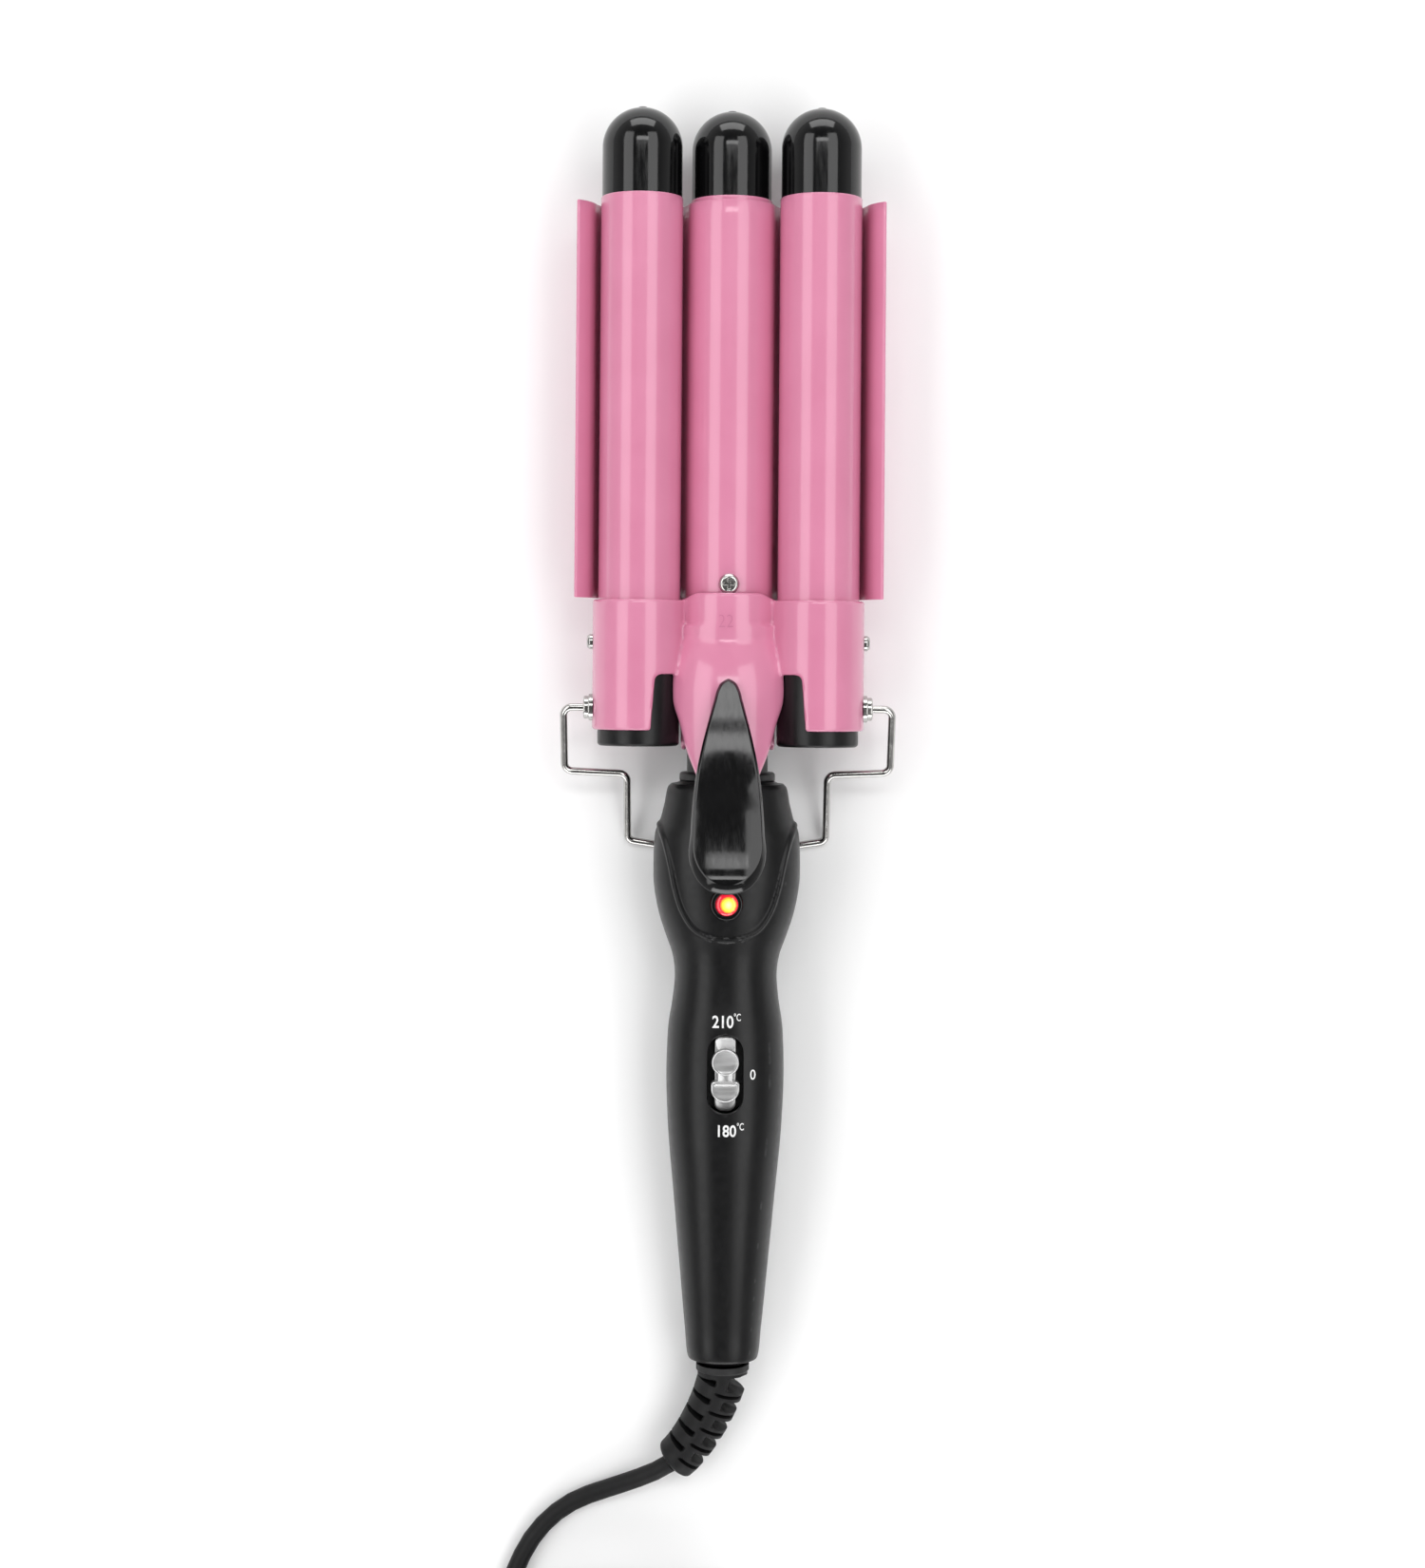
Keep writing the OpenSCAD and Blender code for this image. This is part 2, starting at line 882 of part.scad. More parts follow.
module cord_boot() {
    color(BLACK)
        sweep(boot_route, boot_start_r, boot_end_r, 16);
}

module cord_tube() {
    color(BLACK)
        sweep(cord_route, cord_z, cord_z, 10);
}

module cord_coil() {
    color(BLACK)
        translate([coil_centre[0], coil_centre[1], 0])
            rotate_extrude()
                translate([coil_mid_r - coil_side, 0])
                    square([2 * coil_side, coil_h]);
}

module cord_tail() {
    color(BLACK)
        sweep(tail_route, cord_z, cord_z, 10);
}

module at_plug() {
    translate(plug_pos)
        children();
}

// Flat two-pin plug: the body runs along its own -Y from the cord
module plug() {
    color(BLACK)
        at_plug()
            hull() {
                translate([0, -0.2, 0])
                    rod_y(0, 0.2, 4, $fn = 32);
                for (s = [-1, 1]) {
                    translate([s * (plug_w / 2 - plug_t / 2), -plug_len, 0])
                        rod_y(0, 14, plug_t / 2, $fn = 32);
                }
            }
}

module plug_pins() {
    color(STEEL)
        at_plug()
            for (s = [-1, 1])
                translate([s * plug_pin_gap / 2, 0, 0])
                    rod_y(-plug_len - plug_pin_len, -plug_len, plug_pin_r);
}

handle_front_shell();
handle_rear_shell();
handle_screws();
neck_tube();
front_collar();
middle_barrel();
middle_tip();
middle_heater();
wave_plate();
plate_screw();
pivot_pin();
clamp_spring();
led_lens();
led_bezel();
circuit_board();
switch_body();
switch_guide();
inner_leads();
contact_brushes();
neck_bulkhead();
cord_bulkhead();
screw_posts();
clamp_casting();
thumb_lever();
lever_screw();
left_barrel();
right_barrel();
left_tip();
right_tip();
left_heater();
right_heater();
left_end_plug();
right_end_plug();
barrel_screws();
stand_bosses();
stand_wire();
switch_slider();
swivel_core();
contact_rings();
cord_boot();
cord_tube();
cord_coil();
cord_tail();
plug();
plug_pins();
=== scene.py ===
import math

import bmesh
import bpy
import numpy as np
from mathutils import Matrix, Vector


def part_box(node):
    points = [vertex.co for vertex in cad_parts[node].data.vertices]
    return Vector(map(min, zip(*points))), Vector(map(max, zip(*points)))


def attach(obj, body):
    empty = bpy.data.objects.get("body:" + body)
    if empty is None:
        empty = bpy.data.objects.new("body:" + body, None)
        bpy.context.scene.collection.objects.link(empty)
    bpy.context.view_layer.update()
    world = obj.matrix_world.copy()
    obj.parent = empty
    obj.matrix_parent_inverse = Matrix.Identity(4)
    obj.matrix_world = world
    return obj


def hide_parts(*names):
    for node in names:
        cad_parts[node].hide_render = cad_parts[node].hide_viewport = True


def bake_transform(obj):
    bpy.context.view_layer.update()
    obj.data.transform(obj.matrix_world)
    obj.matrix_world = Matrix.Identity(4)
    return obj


# Three-barrel hair waver lying on its back. Lengths are in millimetres and become metres when
# a mesh is made. X runs across the barrels, +Y to their tips, +Z up through the thumb lever.
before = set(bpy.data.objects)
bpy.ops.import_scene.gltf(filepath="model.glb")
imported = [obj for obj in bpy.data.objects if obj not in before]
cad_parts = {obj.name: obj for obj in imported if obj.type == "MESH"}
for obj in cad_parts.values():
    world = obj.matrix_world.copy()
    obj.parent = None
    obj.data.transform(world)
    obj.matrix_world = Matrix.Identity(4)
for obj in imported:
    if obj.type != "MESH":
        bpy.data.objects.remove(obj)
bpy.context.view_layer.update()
MM = 0.001


class Span:
    """A CAD node's box in millimetres: its corners, middle and half sizes."""

    def __init__(self, node):
        low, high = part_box(node)
        self.low = np.array(low) / MM
        self.high = np.array(high) / MM
        self.mid = (self.low + self.high) / 2
        self.half = (self.high - self.low) / 2


def placed(name, data):
    """A new object in the scene that holds data."""
    obj = bpy.data.objects.new(name, data)
    bpy.context.scene.collection.objects.link(obj)
    return obj


# ---- camera ----

def add_camera():
    """Straight down on the wand, as in the photograph."""
    data = bpy.data.cameras.new("camera")
    data.sensor_width = 36
    data.lens = 61.1
    data.shift_y = -0.0703
    data.clip_end = 20
    camera = placed("camera", data)
    camera.location = (-0.0042, 0.0171, 0.733)
    camera.rotation_euler = (0, 0, math.radians(0.45))
    bpy.context.scene.camera = camera


# ---- outlines and routes ----

def fillet(last, here, following, radius, steps):
    """Points of the arc that rounds a corner, in plan or in space."""
    here = np.array(here, float)
    u, v = np.array(last) - here, np.array(following) - here
    u, v = u / np.linalg.norm(u), v / np.linalg.norm(v)
    half = math.acos(np.clip(u @ v, -1, 1)) / 2
    turn = math.pi - 2 * half
    centre = here + (u + v) / np.linalg.norm(u + v) * radius / math.sin(half)
    start, stop = (here + w * radius / math.tan(half) - centre for w in (u, v))
    steps = steps or max(4, math.ceil(turn * radius / 0.4))
    return [centre + (math.sin(turn - a) * start + math.sin(a) * stop) / math.sin(turn)
            for a in np.linspace(0, turn, steps + 1)]


def rounded(corners, steps=6, closed=True):
    """Outline from corners (a, b) or (a, b, fillet radius), each fillet as an arc."""
    points = []
    count = len(corners)
    for i, corner in enumerate(corners):
        if len(corner) < 3 or (not closed and i in (0, count - 1)):
            points.append(np.array(corner[:2], float))
        else:
            points += fillet(corners[i - 1][:2], corner[:2], corners[(i + 1) % count][:2],
                             corner[2], steps)
    return np.array(points)


def bent_route(corners):
    """3-D polyline with corners (x, y, z, bend radius) turned into arcs, as wire is bent."""
    route = [np.array(corners[0][:3], float)]
    for last, corner, following in zip(corners, corners[1:], corners[2:]):
        route += fillet(last[:3], corner[:3], following[:3], corner[3], None)
    return np.array(route + [np.array(corners[-1][:3], float)])


def smooth(x, knots, values, tight=True):
    """Smooth curve through (knots, values) at x; a tight one does not overshoot."""
    knots, values, x = (np.asarray(v, float) for v in (knots, values, x))
    step = np.diff(knots)
    slope = np.diff(values) / step
    tangent = np.concatenate([slope[:1], (slope[1:] * step[:-1] + slope[:-1] * step[1:])
                              / (step[1:] + step[:-1]), slope[-1:]])
    if tight:
        limit = 2 * np.minimum(np.abs(slope[1:]), np.abs(slope[:-1]))
        limit *= slope[1:] * slope[:-1] > 0
        tangent[1:-1] = np.clip(tangent[1:-1], -limit, limit)
    k = np.clip(np.searchsorted(knots, x) - 1, 0, len(step) - 1)
    t = (np.clip(x, knots[0], knots[-1]) - knots[k]) / step[k]
    a, b = values[k], values[k + 1]
    return (a * (1 + 2 * t) * (1 - t) ** 2 + b * t * t * (3 - 2 * t)
            + step[k] * (tangent[k] * t * (1 - t) ** 2 - tangent[k + 1] * t * t * (1 - t)))


def ease_step(t):
    t = np.clip(t, 0, 1)
    return t * t * (3 - 2 * t)


def circle(count):
    """Angles of count even steps round a circle."""
    return np.arange(count) * 2 * math.pi / count


def distance_along(points):
    """Distance of each point from the first, along the line through them."""
    return np.concatenate([[0], np.cumsum(np.linalg.norm(np.diff(points, axis=0), axis=1))])


def signed_power(v, power):
    return np.sign(v) * np.abs(v) ** power


def smooth_route(points, step):
    """Smooth 3-D curve through points, cut into even lengths of about step."""
    points = np.asarray(points, float)
    along = distance_along(points)
    fine = np.linspace(0, along[-1], 40 * len(points))
    curve = np.stack([smooth(fine, along, points[:, i], False) for i in range(3)], axis=1)
    length = distance_along(curve)
    even = np.linspace(0, length[-1], max(2, round(length[-1] / step)) + 1)
    return np.stack([np.interp(even, length, curve[:, i]) for i in range(3)], axis=1)


def frames_along(route):
    """Direction, side and up vectors at each point of a route, without twist."""
    ahead = np.gradient(route, axis=0)
    ahead /= np.linalg.norm(ahead, axis=1)[:, None]
    up = np.zeros_like(route)
    start = np.array([0, 0, 1.0]) if abs(ahead[0][2]) < 0.9 else np.array([0, 1.0, 0])
    for k, direction in enumerate(ahead):
        start = start - direction * (start @ direction)
        start /= np.linalg.norm(start)
        up[k] = start
    return ahead, np.cross(ahead, up), up


# ---- mesh making ----

def quads(rings, around, wrap=True, loop=False):
    """Quads between neighbouring rings of points; loop joins the last ring to the first."""
    side = np.arange(around if wrap else around - 1)
    faces = []
    for k in range(rings if loop else rings - 1):
        a, b = k * around, (k + 1) % rings * around
        nxt = (side + 1) % around
        faces.append(np.stack([a + side, a + nxt, b + nxt, b + side], axis=1))
    return np.concatenate(faces).tolist()


def caps(rings, around):
    """The two end faces of a stack of rings."""
    last = (rings - 1) * around
    return [list(range(around))[::-1], list(range(last, last + around))]


def mesh_object(name, points, faces, crease=35):
    """Object from points in millimetres, smooth except across edges sharper than crease."""
    mesh = bpy.data.meshes.new(name)
    mesh.from_pydata((np.asarray(points, float) * MM).tolist(), [], faces)
    work = bmesh.new()
    work.from_mesh(mesh)
    bmesh.ops.remove_doubles(work, verts=work.verts, dist=1e-6)
    bmesh.ops.recalc_face_normals(work, faces=work.faces)
    work.to_mesh(mesh)
    work.free()
    shade(mesh, crease)
    return placed(name, mesh)


def shade(mesh, crease):
    mesh.shade_smooth()
    mesh.set_sharp_from_angle(angle=math.radians(crease))


def dress(obj, body, slot, material, *replaced):
    """The piece rides on a body, has its finish, and stands for CAD nodes."""
    obj.data.materials.append(material)
    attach(obj, body)
    if replaced:
        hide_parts(*replaced)
    return obj


def divided(profile, longest, loop=False):
    """The outline with points added so that no step is longer than longest."""
    profile = np.asarray(profile, float)
    ends = np.vstack([profile[1:], profile[:1]]) if loop else profile[1:]
    points = []
    for start, stop in zip(profile, ends):
        count = max(1, math.ceil(np.linalg.norm(stop - start) / longest))
        points += [start + (stop - start) * k / count for k in range(count)]
    return np.array(points if loop else points + [profile[-1]])


def turned(name, profile, a=0.0, b=0.0, axis="y", sides=96, loop=False, crease=35):
    """Turned body about an axis at (a, b): profile points are (radius, place along the axis)."""
    turn = circle(sides)
    profile = divided(profile, 4, loop)
    columns = [a + profile[:, :1] * np.cos(turn), b + profile[:, :1] * np.sin(turn)]
    columns.insert("xyz".index(axis), profile[:, 1:2] + 0 * turn)
    points = np.stack(columns, axis=-1).reshape(-1, 3)
    return mesh_object(name, points, quads(len(profile), sides, loop=loop), crease)


def tube(name, route, radii, sides=24, crease=50):
    """Round bar along a route; radii is one number, or one for each side at each point."""
    ahead, side, up = frames_along(route)
    turn = circle(sides)
    radii = np.broadcast_to(radii, (len(route), sides))
    points = (route[:, None] + radii[..., None] * (np.cos(turn)[None, :, None] * side[:, None]
              + np.sin(turn)[None, :, None] * up[:, None]))
    faces = quads(len(route), sides) + caps(len(route), sides)
    return mesh_object(name, points.reshape(-1, 3), faces, crease)


def cut_out(obj, *cutters, crease=35):
    """Cuts closed objects out of obj and removes them."""
    for cutter in cutters:
        modifier = obj.modifiers.new("cut", "BOOLEAN")
        modifier.operation = "DIFFERENCE"
        modifier.solver = "EXACT"
        modifier.object = cutter
    graph = bpy.context.evaluated_depsgraph_get()
    cut = bpy.data.meshes.new_from_object(obj.evaluated_get(graph))
    obj.modifiers.clear()
    obj.data = cut
    shade(cut, crease)
    for cutter in cutters:
        bpy.data.objects.remove(cutter)
    return obj


# ---- implicit shapes ----

def smooth_min(a, b, blend):
    h = np.maximum(blend - np.abs(a - b), 0) / blend
    return np.minimum(a, b) - h * h * blend / 4


def smooth_max(a, b, blend):
    return -smooth_min(-a, -b, blend)


def gradient(field, points, reach=0.02):
    shifts = np.eye(3) * reach
    return np.stack([(field(points + s) - field(points - s)) / (2 * reach) for s in shifts],
                    axis=-1)


def skinned(name, field, low, high, cell, crease=40):
    """Closed mesh of the surface where field is zero, by surface nets; inside is negative."""
    low = np.asarray(low, float)
    counts = np.ceil((np.asarray(high) - low) / cell).astype(int) + 1
    axes = [low[i] + cell * np.arange(counts[i]) for i in range(3)]
    grid = np.stack(np.meshgrid(*axes, indexing="ij"), axis=-1)
    value = field(grid)
    inside = value < 0
    total = np.zeros(tuple(counts - 1) + (3,))
    hits = np.zeros(tuple(counts - 1))
    crossings = []
    for axis in range(3):
        others = [i for i in range(3) if i != axis]
        near = tuple(slice(None, -1 if i == axis else None) for i in range(3))
        far = tuple(slice(1 if i == axis else None, None) for i in range(3))
        crossed = inside[near] != inside[far]
        share = np.where(crossed, value[near] / np.where(crossed, value[near] - value[far], 1), 0)
        place = grid[near] + share[..., None] * cell * np.eye(3)[axis]
        for shift in ((0, 0), (0, 1), (1, 0), (1, 1)):
            part = [slice(None)] * 3
            for other, d in zip(others, shift):
                part[other] = slice(d, d + counts[other] - 1)
            part = tuple(part)
            total += np.where(crossed[part][..., None], place[part], 0)
            hits += crossed[part]
        crossings.append((others, crossed))
    index = np.full(hits.shape, -1)
    index[hits > 0] = np.arange(np.count_nonzero(hits))
    points = total[hits > 0] / hits[hits > 0][:, None]
    faces = []
    for others, crossed in crossings:
        edges = np.argwhere(crossed)
        inner = np.all([(edges[:, o] > 0) & (edges[:, o] < counts[o] - 1) for o in others], axis=0)
        edges = edges[inner]
        u, v = np.eye(3, dtype=int)[others[0]], np.eye(3, dtype=int)[others[1]]
        corners = [index[tuple((edges - s).T)] for s in (u + v, v, 0 * u, u)]
        faces += np.stack(corners, axis=1).tolist()
    for _ in range(4):
        slope = gradient(field, points)
        steep = np.maximum((slope ** 2).sum(axis=1), 0.05)
        move = -(field(points) / steep)[:, None] * slope
        size = np.linalg.norm(move, axis=1, keepdims=True)
        points = points + move * np.minimum(1, 0.4 * cell / np.maximum(size, 1e-9))
    return mesh_object(name, points, faces, crease)


# ---- materials ----

class Finish:
    """One procedural material: short names for the nodes that every finish here uses."""

    def __init__(self, name, **settings):
        self.material = bpy.data.materials.new(name)
        self.material.use_nodes = True
        self.tree = self.material.node_tree
        self.shader = self.tree.nodes["Principled BSDF"]
        self.place = self.tree.nodes.new("ShaderNodeTexCoord").outputs["Object"]
        for key, value in settings.items():
            self.shader.inputs[key.replace("_", " ")].default_value = value

    def node(self, kind, inputs=None, **settings):
        made = self.tree.nodes.new("ShaderNode" + kind)
        for key, value in settings.items():
            setattr(made, key, value)
        for key, value in (inputs or {}).items():
            if isinstance(value, bpy.types.NodeSocket):
                self.tree.links.new(value, made.inputs[key])
            else:
                made.inputs[key].default_value = value
        return made

    def noise(self, scale, detail=2.0, rough=0.5, stretch=None):
        place = self.place
        if stretch:
            place = self.node("Mapping", {"Vector": place, "Scale": stretch}).outputs[0]
        return self.node("TexNoise", {"Vector": place, "Scale": scale, "Detail": detail,
                                      "Roughness": rough}).outputs["Fac"]

    def span(self, source, low, high, start=0.3, end=0.7):
        """Source from start to end turned into low to high."""
        return self.node("MapRange", {"Value": source, "From Min": start, "From Max": end,
                                      "To Min": low, "To Max": high}).outputs[0]

    def ramp(self, source, *stops):
        """Colour ramp with stops (place, colour); a colour is a hex code or linear values."""
        made = self.node("ValToRGB", {"Fac": source})
        elements = made.color_ramp.elements
        while len(elements) < len(stops):
            elements.new(0.5)
        for element, (place, colour) in zip(elements, stops):
            element.position = place
            element.color = (*(srgb(colour) if isinstance(colour, str) else colour), 1)
        return made.outputs["Color"]

    def edges(self, start=0.52, end=0.6):
        """One on worn edges, zero elsewhere."""
        point = self.node("NewGeometry").outputs["Pointiness"]
        worn = self.span(point, 0, 1, start, end)
        patchy = self.span(self.noise(700, 4), 0.2, 1, 0.35, 0.6)
        return self.node("Math", {0: worn, 1: patchy}, operation="MULTIPLY").outputs[0]

    def bump(self, *layers):
        """Bump from layers (height, strength, distance in mm), one over the other."""
        normal = None
        for height, strength, distance in layers:
            inputs = {"Height": height, "Strength": strength, "Distance": distance * MM}
            if normal is not None:
                inputs["Normal"] = normal
            normal = self.node("Bump", inputs).outputs["Normal"]
        self.link(normal, "Normal")

    def link(self, source, name):
        self.tree.links.new(source, self.shader.inputs[name])

    def colour(self, source, dark, light, worn=None):
        """Base colour between two tones; worn is where edges start and end, and their tone."""
        tone = self.ramp(source, (0.3, dark), (0.7, light))
        if worn:
            start, end, pale = worn
            tone = self.node("MixRGB", {"Fac": self.edges(start, end), "Color1": tone,
                                        "Color2": (*srgb(pale), 1)}).outputs[0]
        self.link(tone, "Base Color")

    def rough(self, source, low, high, start=0.3, end=0.7):
        self.link(self.span(source, low, high, start, end), "Roughness")


def srgb(code):
    """Linear colour from a hex code."""
    parts = [int(code[i:i + 2], 16) / 255 for i in (0, 2, 4)]
    return tuple(c / 12.92 if c <= 0.04045 else ((c + 0.055) / 1.055) ** 2.4 for c in parts)


def pink_enamel():
    """Baked enamel: even pink under a clear gloss, paler where it is handled."""
    f = Finish("pink_enamel", Coat_Weight=0.8, Coat_Roughness=0.09, IOR=1.5)
    f.colour(f.noise(60, 3), "CD7B9A", "D1809F", (0.6, 0.72, "E09DB9"))
    f.rough(f.noise(240, 4), 0.29, 0.36)
    f.bump((f.noise(420, 2), 0.02, 0.08), (f.noise(2600, 2), 0.03, 0.02))
    return f.material


def gloss_black():
    """Moulded gloss plastic with a faint haze of fine scratches."""
    f = Finish("gloss_black", IOR=1.5, Specular_IOR_Level=0.5)
    f.colour(f.noise(90, 3), "060607", "0A0A0B", (0.54, 0.68, "2A2A2B"))
    scratches = f.noise(900, 6, 0.7, stretch=(1, 0.12, 1))
    f.rough(scratches, 0.07, 0.17, 0.35, 0.7)
    f.bump((f.noise(300, 2), 0.04, 0.12), (scratches, 0.03, 0.02))
    return f.material


def matte_black():
    """Fine-grained moulded plastic of the handle."""
    f = Finish("matte_black", IOR=1.46, Specular_IOR_Level=0.35)
    f.colour(f.noise(70, 4), "0B0B0C", "0F0F10", (0.53, 0.66, "2C2C2D"))
    f.rough(f.noise(500, 5), 0.29, 0.37)
    f.bump((f.noise(2400, 3, 0.6), 0.12, 0.04), (f.noise(160, 2), 0.04, 0.15))
    return f.material


def soft_black():
    """Satin plastic of the neck, the end plugs and the mains plug."""
    f = Finish("soft_black", IOR=1.48, Specular_IOR_Level=0.35)
    f.colour(f.noise(80, 3), "0D0D0E", "131314")
    f.rough(f.noise(420, 4), 0.29, 0.38)
    f.bump((f.noise(1500, 3), 0.1, 0.05))
    return f.material


def cord_rubber():
    f = Finish("cord_rubber", IOR=1.45, Specular_IOR_Level=0.3)
    f.colour(f.noise(120, 4), "0D0D0E", "141415")
    f.rough(f.noise(300, 4), 0.45, 0.6)
    f.bump((f.noise(1800, 3), 0.15, 0.05))
    return f.material


def polished_steel():
    f = Finish("polished_steel", Metallic=1.0)
    f.colour(f.noise(200, 3), (0.46, 0.45, 0.44), (0.60, 0.59, 0.57))
    f.rough(f.noise(900, 5, 0.65), 0.1, 0.24)
    f.bump((f.noise(1600, 4, 0.6), 0.08, 0.03))
    return f.material


def brushed(name, stretch, scale, detail, dark, light, low, high, relief, metallic=1.0):
    """Metal with a grain drawn out along one axis."""
    f = Finish(name, Metallic=metallic)
    grain = f.noise(scale, detail, 0.6, stretch=stretch)
    f.colour(grain, dark, light)
    f.rough(grain, low, high)
    f.bump((grain, *relief))
    return f.material


def plain_plastic(name, dark, light, roughness=0.5, metallic=0.0):
    """Inner parts: mottled colour between two tones, with a light grain."""
    f = Finish(name, Metallic=metallic)
    f.colour(f.noise(300, 4), dark, light)
    f.rough(f.noise(700, 3), roughness - 0.08, roughness + 0.08)
    f.bump((f.noise(1500, 3), 0.12, 0.05))
    return f.material


def lit_lens(centre):
    """Lamp lens: a hot yellow core off the middle of a deep red rim."""
    f = Finish("lit_lens", Roughness=0.12, Coat_Weight=0.6)
    offset = f.node("VectorMath", {0: f.place, 1: tuple(c * MM for c in centre)},
                    operation="SUBTRACT").outputs[0]
    flat = f.node("VectorMath", {0: offset, 1: (1, 1, 0)}, operation="MULTIPLY").outputs[0]
    reach = f.node("VectorMath", {0: flat}, operation="LENGTH").outputs["Value"]
    spread = f.span(reach, 0, 1, 0, 3.4 * MM)
    grain = f.span(f.noise(1500, 3), -0.03, 0.03)
    mixed = f.node("Math", {0: spread, 1: grain}, operation="ADD").outputs[0]
    glow = f.ramp(mixed, (0.0, "FFF6B0"), (0.38, "FFE14A"), (0.56, "FF9A2E"), (0.66, "F0303E"),
                  (0.85, "C80F2C"), (1.0, "7A0618"))
    f.link(glow, "Base Color")
    f.link(glow, "Emission Color")
    f.shader.inputs["Emission Strength"].default_value = 0.85
    f.bump((f.noise(900, 2), 0.03, 0.05))
    return f.material


def label_ink():
    f = Finish("label_ink")
    f.colour(f.noise(900, 4), "D8D8D8", "F4F4F4")
    f.rough(f.noise(1200, 3), 0.4, 0.6)
    return f.material


def pale_floor():
    f = Finish("pale_floor")
    f.colour(f.noise(6, 4), (0.93, 0.93, 0.93), (0.95, 0.95, 0.95))
    f.rough(f.noise(40, 4), 0.6, 0.8)
    return f.material


pink = pink_enamel()
gloss = gloss_black()
matte = matte_black()
satin = soft_black()
rubber = cord_rubber()
steel = polished_steel()
silver = brushed("switch_silver", (0.15, 1, 1), 900, 5, (0.50, 0.50, 0.50), (0.62, 0.62, 0.62),
                 0.29, 0.42, (0.1, 0.03), 0.85)
aluminium = brushed("spreader_aluminium", (1, 0.1, 1), 700, 4, (0.55, 0.56, 0.57),
                    (0.7, 0.71, 0.72), 0.3, 0.5, (0.15, 0.05))

# ---- measures from the frame ----

middle = Span("middle_barrel")
right = Span("right_barrel")
barrel_r = middle.half[0]
axis_z = middle.mid[2]
jaw_z = right.mid[2]
pitch = right.mid[0]
rise = jaw_z - axis_z
barrel_back, barrel_front = middle.low[1], middle.high[1]
plate = Span("wave_plate")
casting = Span("clamp_casting")
sleeve_r = casting.half[0] - pitch
collar = Span("front_collar")
tip = Span("middle_tip")
lens = Span("led_lens")
bezel = Span("led_bezel")
guide = Span("switch_guide")
slider = Span("switch_slider")
wall = 1.0
arch_r = 14.0
both_sides = (("left", -1), ("right", 1))


# ---- barrels, tips and plate ----

def barrel(name, x, z, body):
    """Thin tube with a rolled front lip."""
    r, back, front = barrel_r, barrel_back, barrel_front
    profile = rounded([(r, back + 0.02, 0.25), (r, front - 0.5), (r, front, 0.45),
                       (r - wall, front, 0.3), (r - wall, back + 0.02, 0.25)], 5)
    return dress(turned(name, profile, x, z, sides=144, loop=True), body, "pink_enamel",
                 pink, name)


def barrel_tip(name, x, z, body):
    """Gloss cap with a shallow ring groove, a round nose and a small pip."""
    r, end = tip.half[0], tip.high[1]
    nose = end - 0.3 - r
    start = barrel_front - 0.3
    arc = [(r * math.cos(a), nose + r * math.sin(a)) for a in np.linspace(0, 1.44, 40)]
    pip = rounded([(1.36, end - 0.36), (1.15, end - 0.12, 0.2), (0, end - 0.05)], 4, closed=False)
    profile = [(0, start - 4), (r - wall, start - 4), (r - wall, start), (r - 0.12, start),
               (r, start + 0.12), *arc, *pip]
    return dress(turned(name, profile, x, z, sides=128), body, "gloss_black", gloss, name)


def arc_points(centre, radius, start, stop, steps):
    turn = np.linspace(start, stop, steps + 1)
    return np.stack([centre[0] + radius * np.cos(turn), centre[1] + radius * np.sin(turn)], 1)


def plate_curve(height):
    """Right half of the plate's section at a height above its under face."""
    tilt = math.atan2(rise, pitch)
    ridge = barrel_r + 0.1 + height
    trough = math.hypot(pitch, rise) - ridge
    lip_x = plate.high[0] - 0.5
    lip = math.acos((lip_x - 2 * pitch) / (barrel_r + 0.6))
    return np.concatenate([
        arc_points((0, axis_z), ridge, math.pi / 2, tilt, 22),
        arc_points((pitch, jaw_z), trough, math.pi + tilt, 2 * math.pi - tilt, 44)[1:],
        arc_points((2 * pitch, axis_z), ridge, math.pi - tilt, lip, 16)[1:]])


def wave_plate():
    """Bent sheet: a ridge over the middle barrel, a trough behind each outer one."""
    edge, ease = 0.3, 0.28
    back, front = plate.low[1], plate.high[1]
    flat = np.linspace(back + edge, front - edge, 30)
    rows = [(back, 1), (back + 0.1, 0.4), *((y, 0) for y in flat), (front - 0.1, 0.4), (front, 1)]
    sections = []
    for y, shrink in rows:
        inset = ease * shrink
        under, top = plate_curve(inset), plate_curve(wall - inset)
        mid, span = (under[-1] + top[-1]) / 2, top[-1] - under[-1]
        span /= np.linalg.norm(span)
        out = np.array([span[1], -span[0]])
        half = wall / 2 - inset
        lip = [mid + half * (math.cos(a) * span + math.sin(a) * out * 0.9)
               for a in np.linspace(0, math.pi, 9)[1:-1]]
        half_section = np.concatenate([top, lip, under[::-1]])
        ring = np.concatenate([half_section, half_section[::-1][1:-1] * [-1, 1]])
        sections.append(np.stack([ring[:, 0], np.full(len(ring), y), ring[:, 1]], axis=1))
    count, around = len(half_section), len(ring)
    faces = quads(len(sections), around)
    for start in (0, (len(sections) - 1) * around):
        # Each end is closed by strips from the top face to the under face, on both halves.
        for k in range(count // 2):
            strip = list(dict.fromkeys([k, k + 1, count - 2 - k, count - 1 - k]))
            faces.append([start + v for v in strip])
            faces.append([start + (around - v) % around for v in strip])
    obj = mesh_object("wave_plate_sheet", np.concatenate(sections), faces, 40)
    return dress(obj, "root", "pink_enamel", pink, "wave_plate")


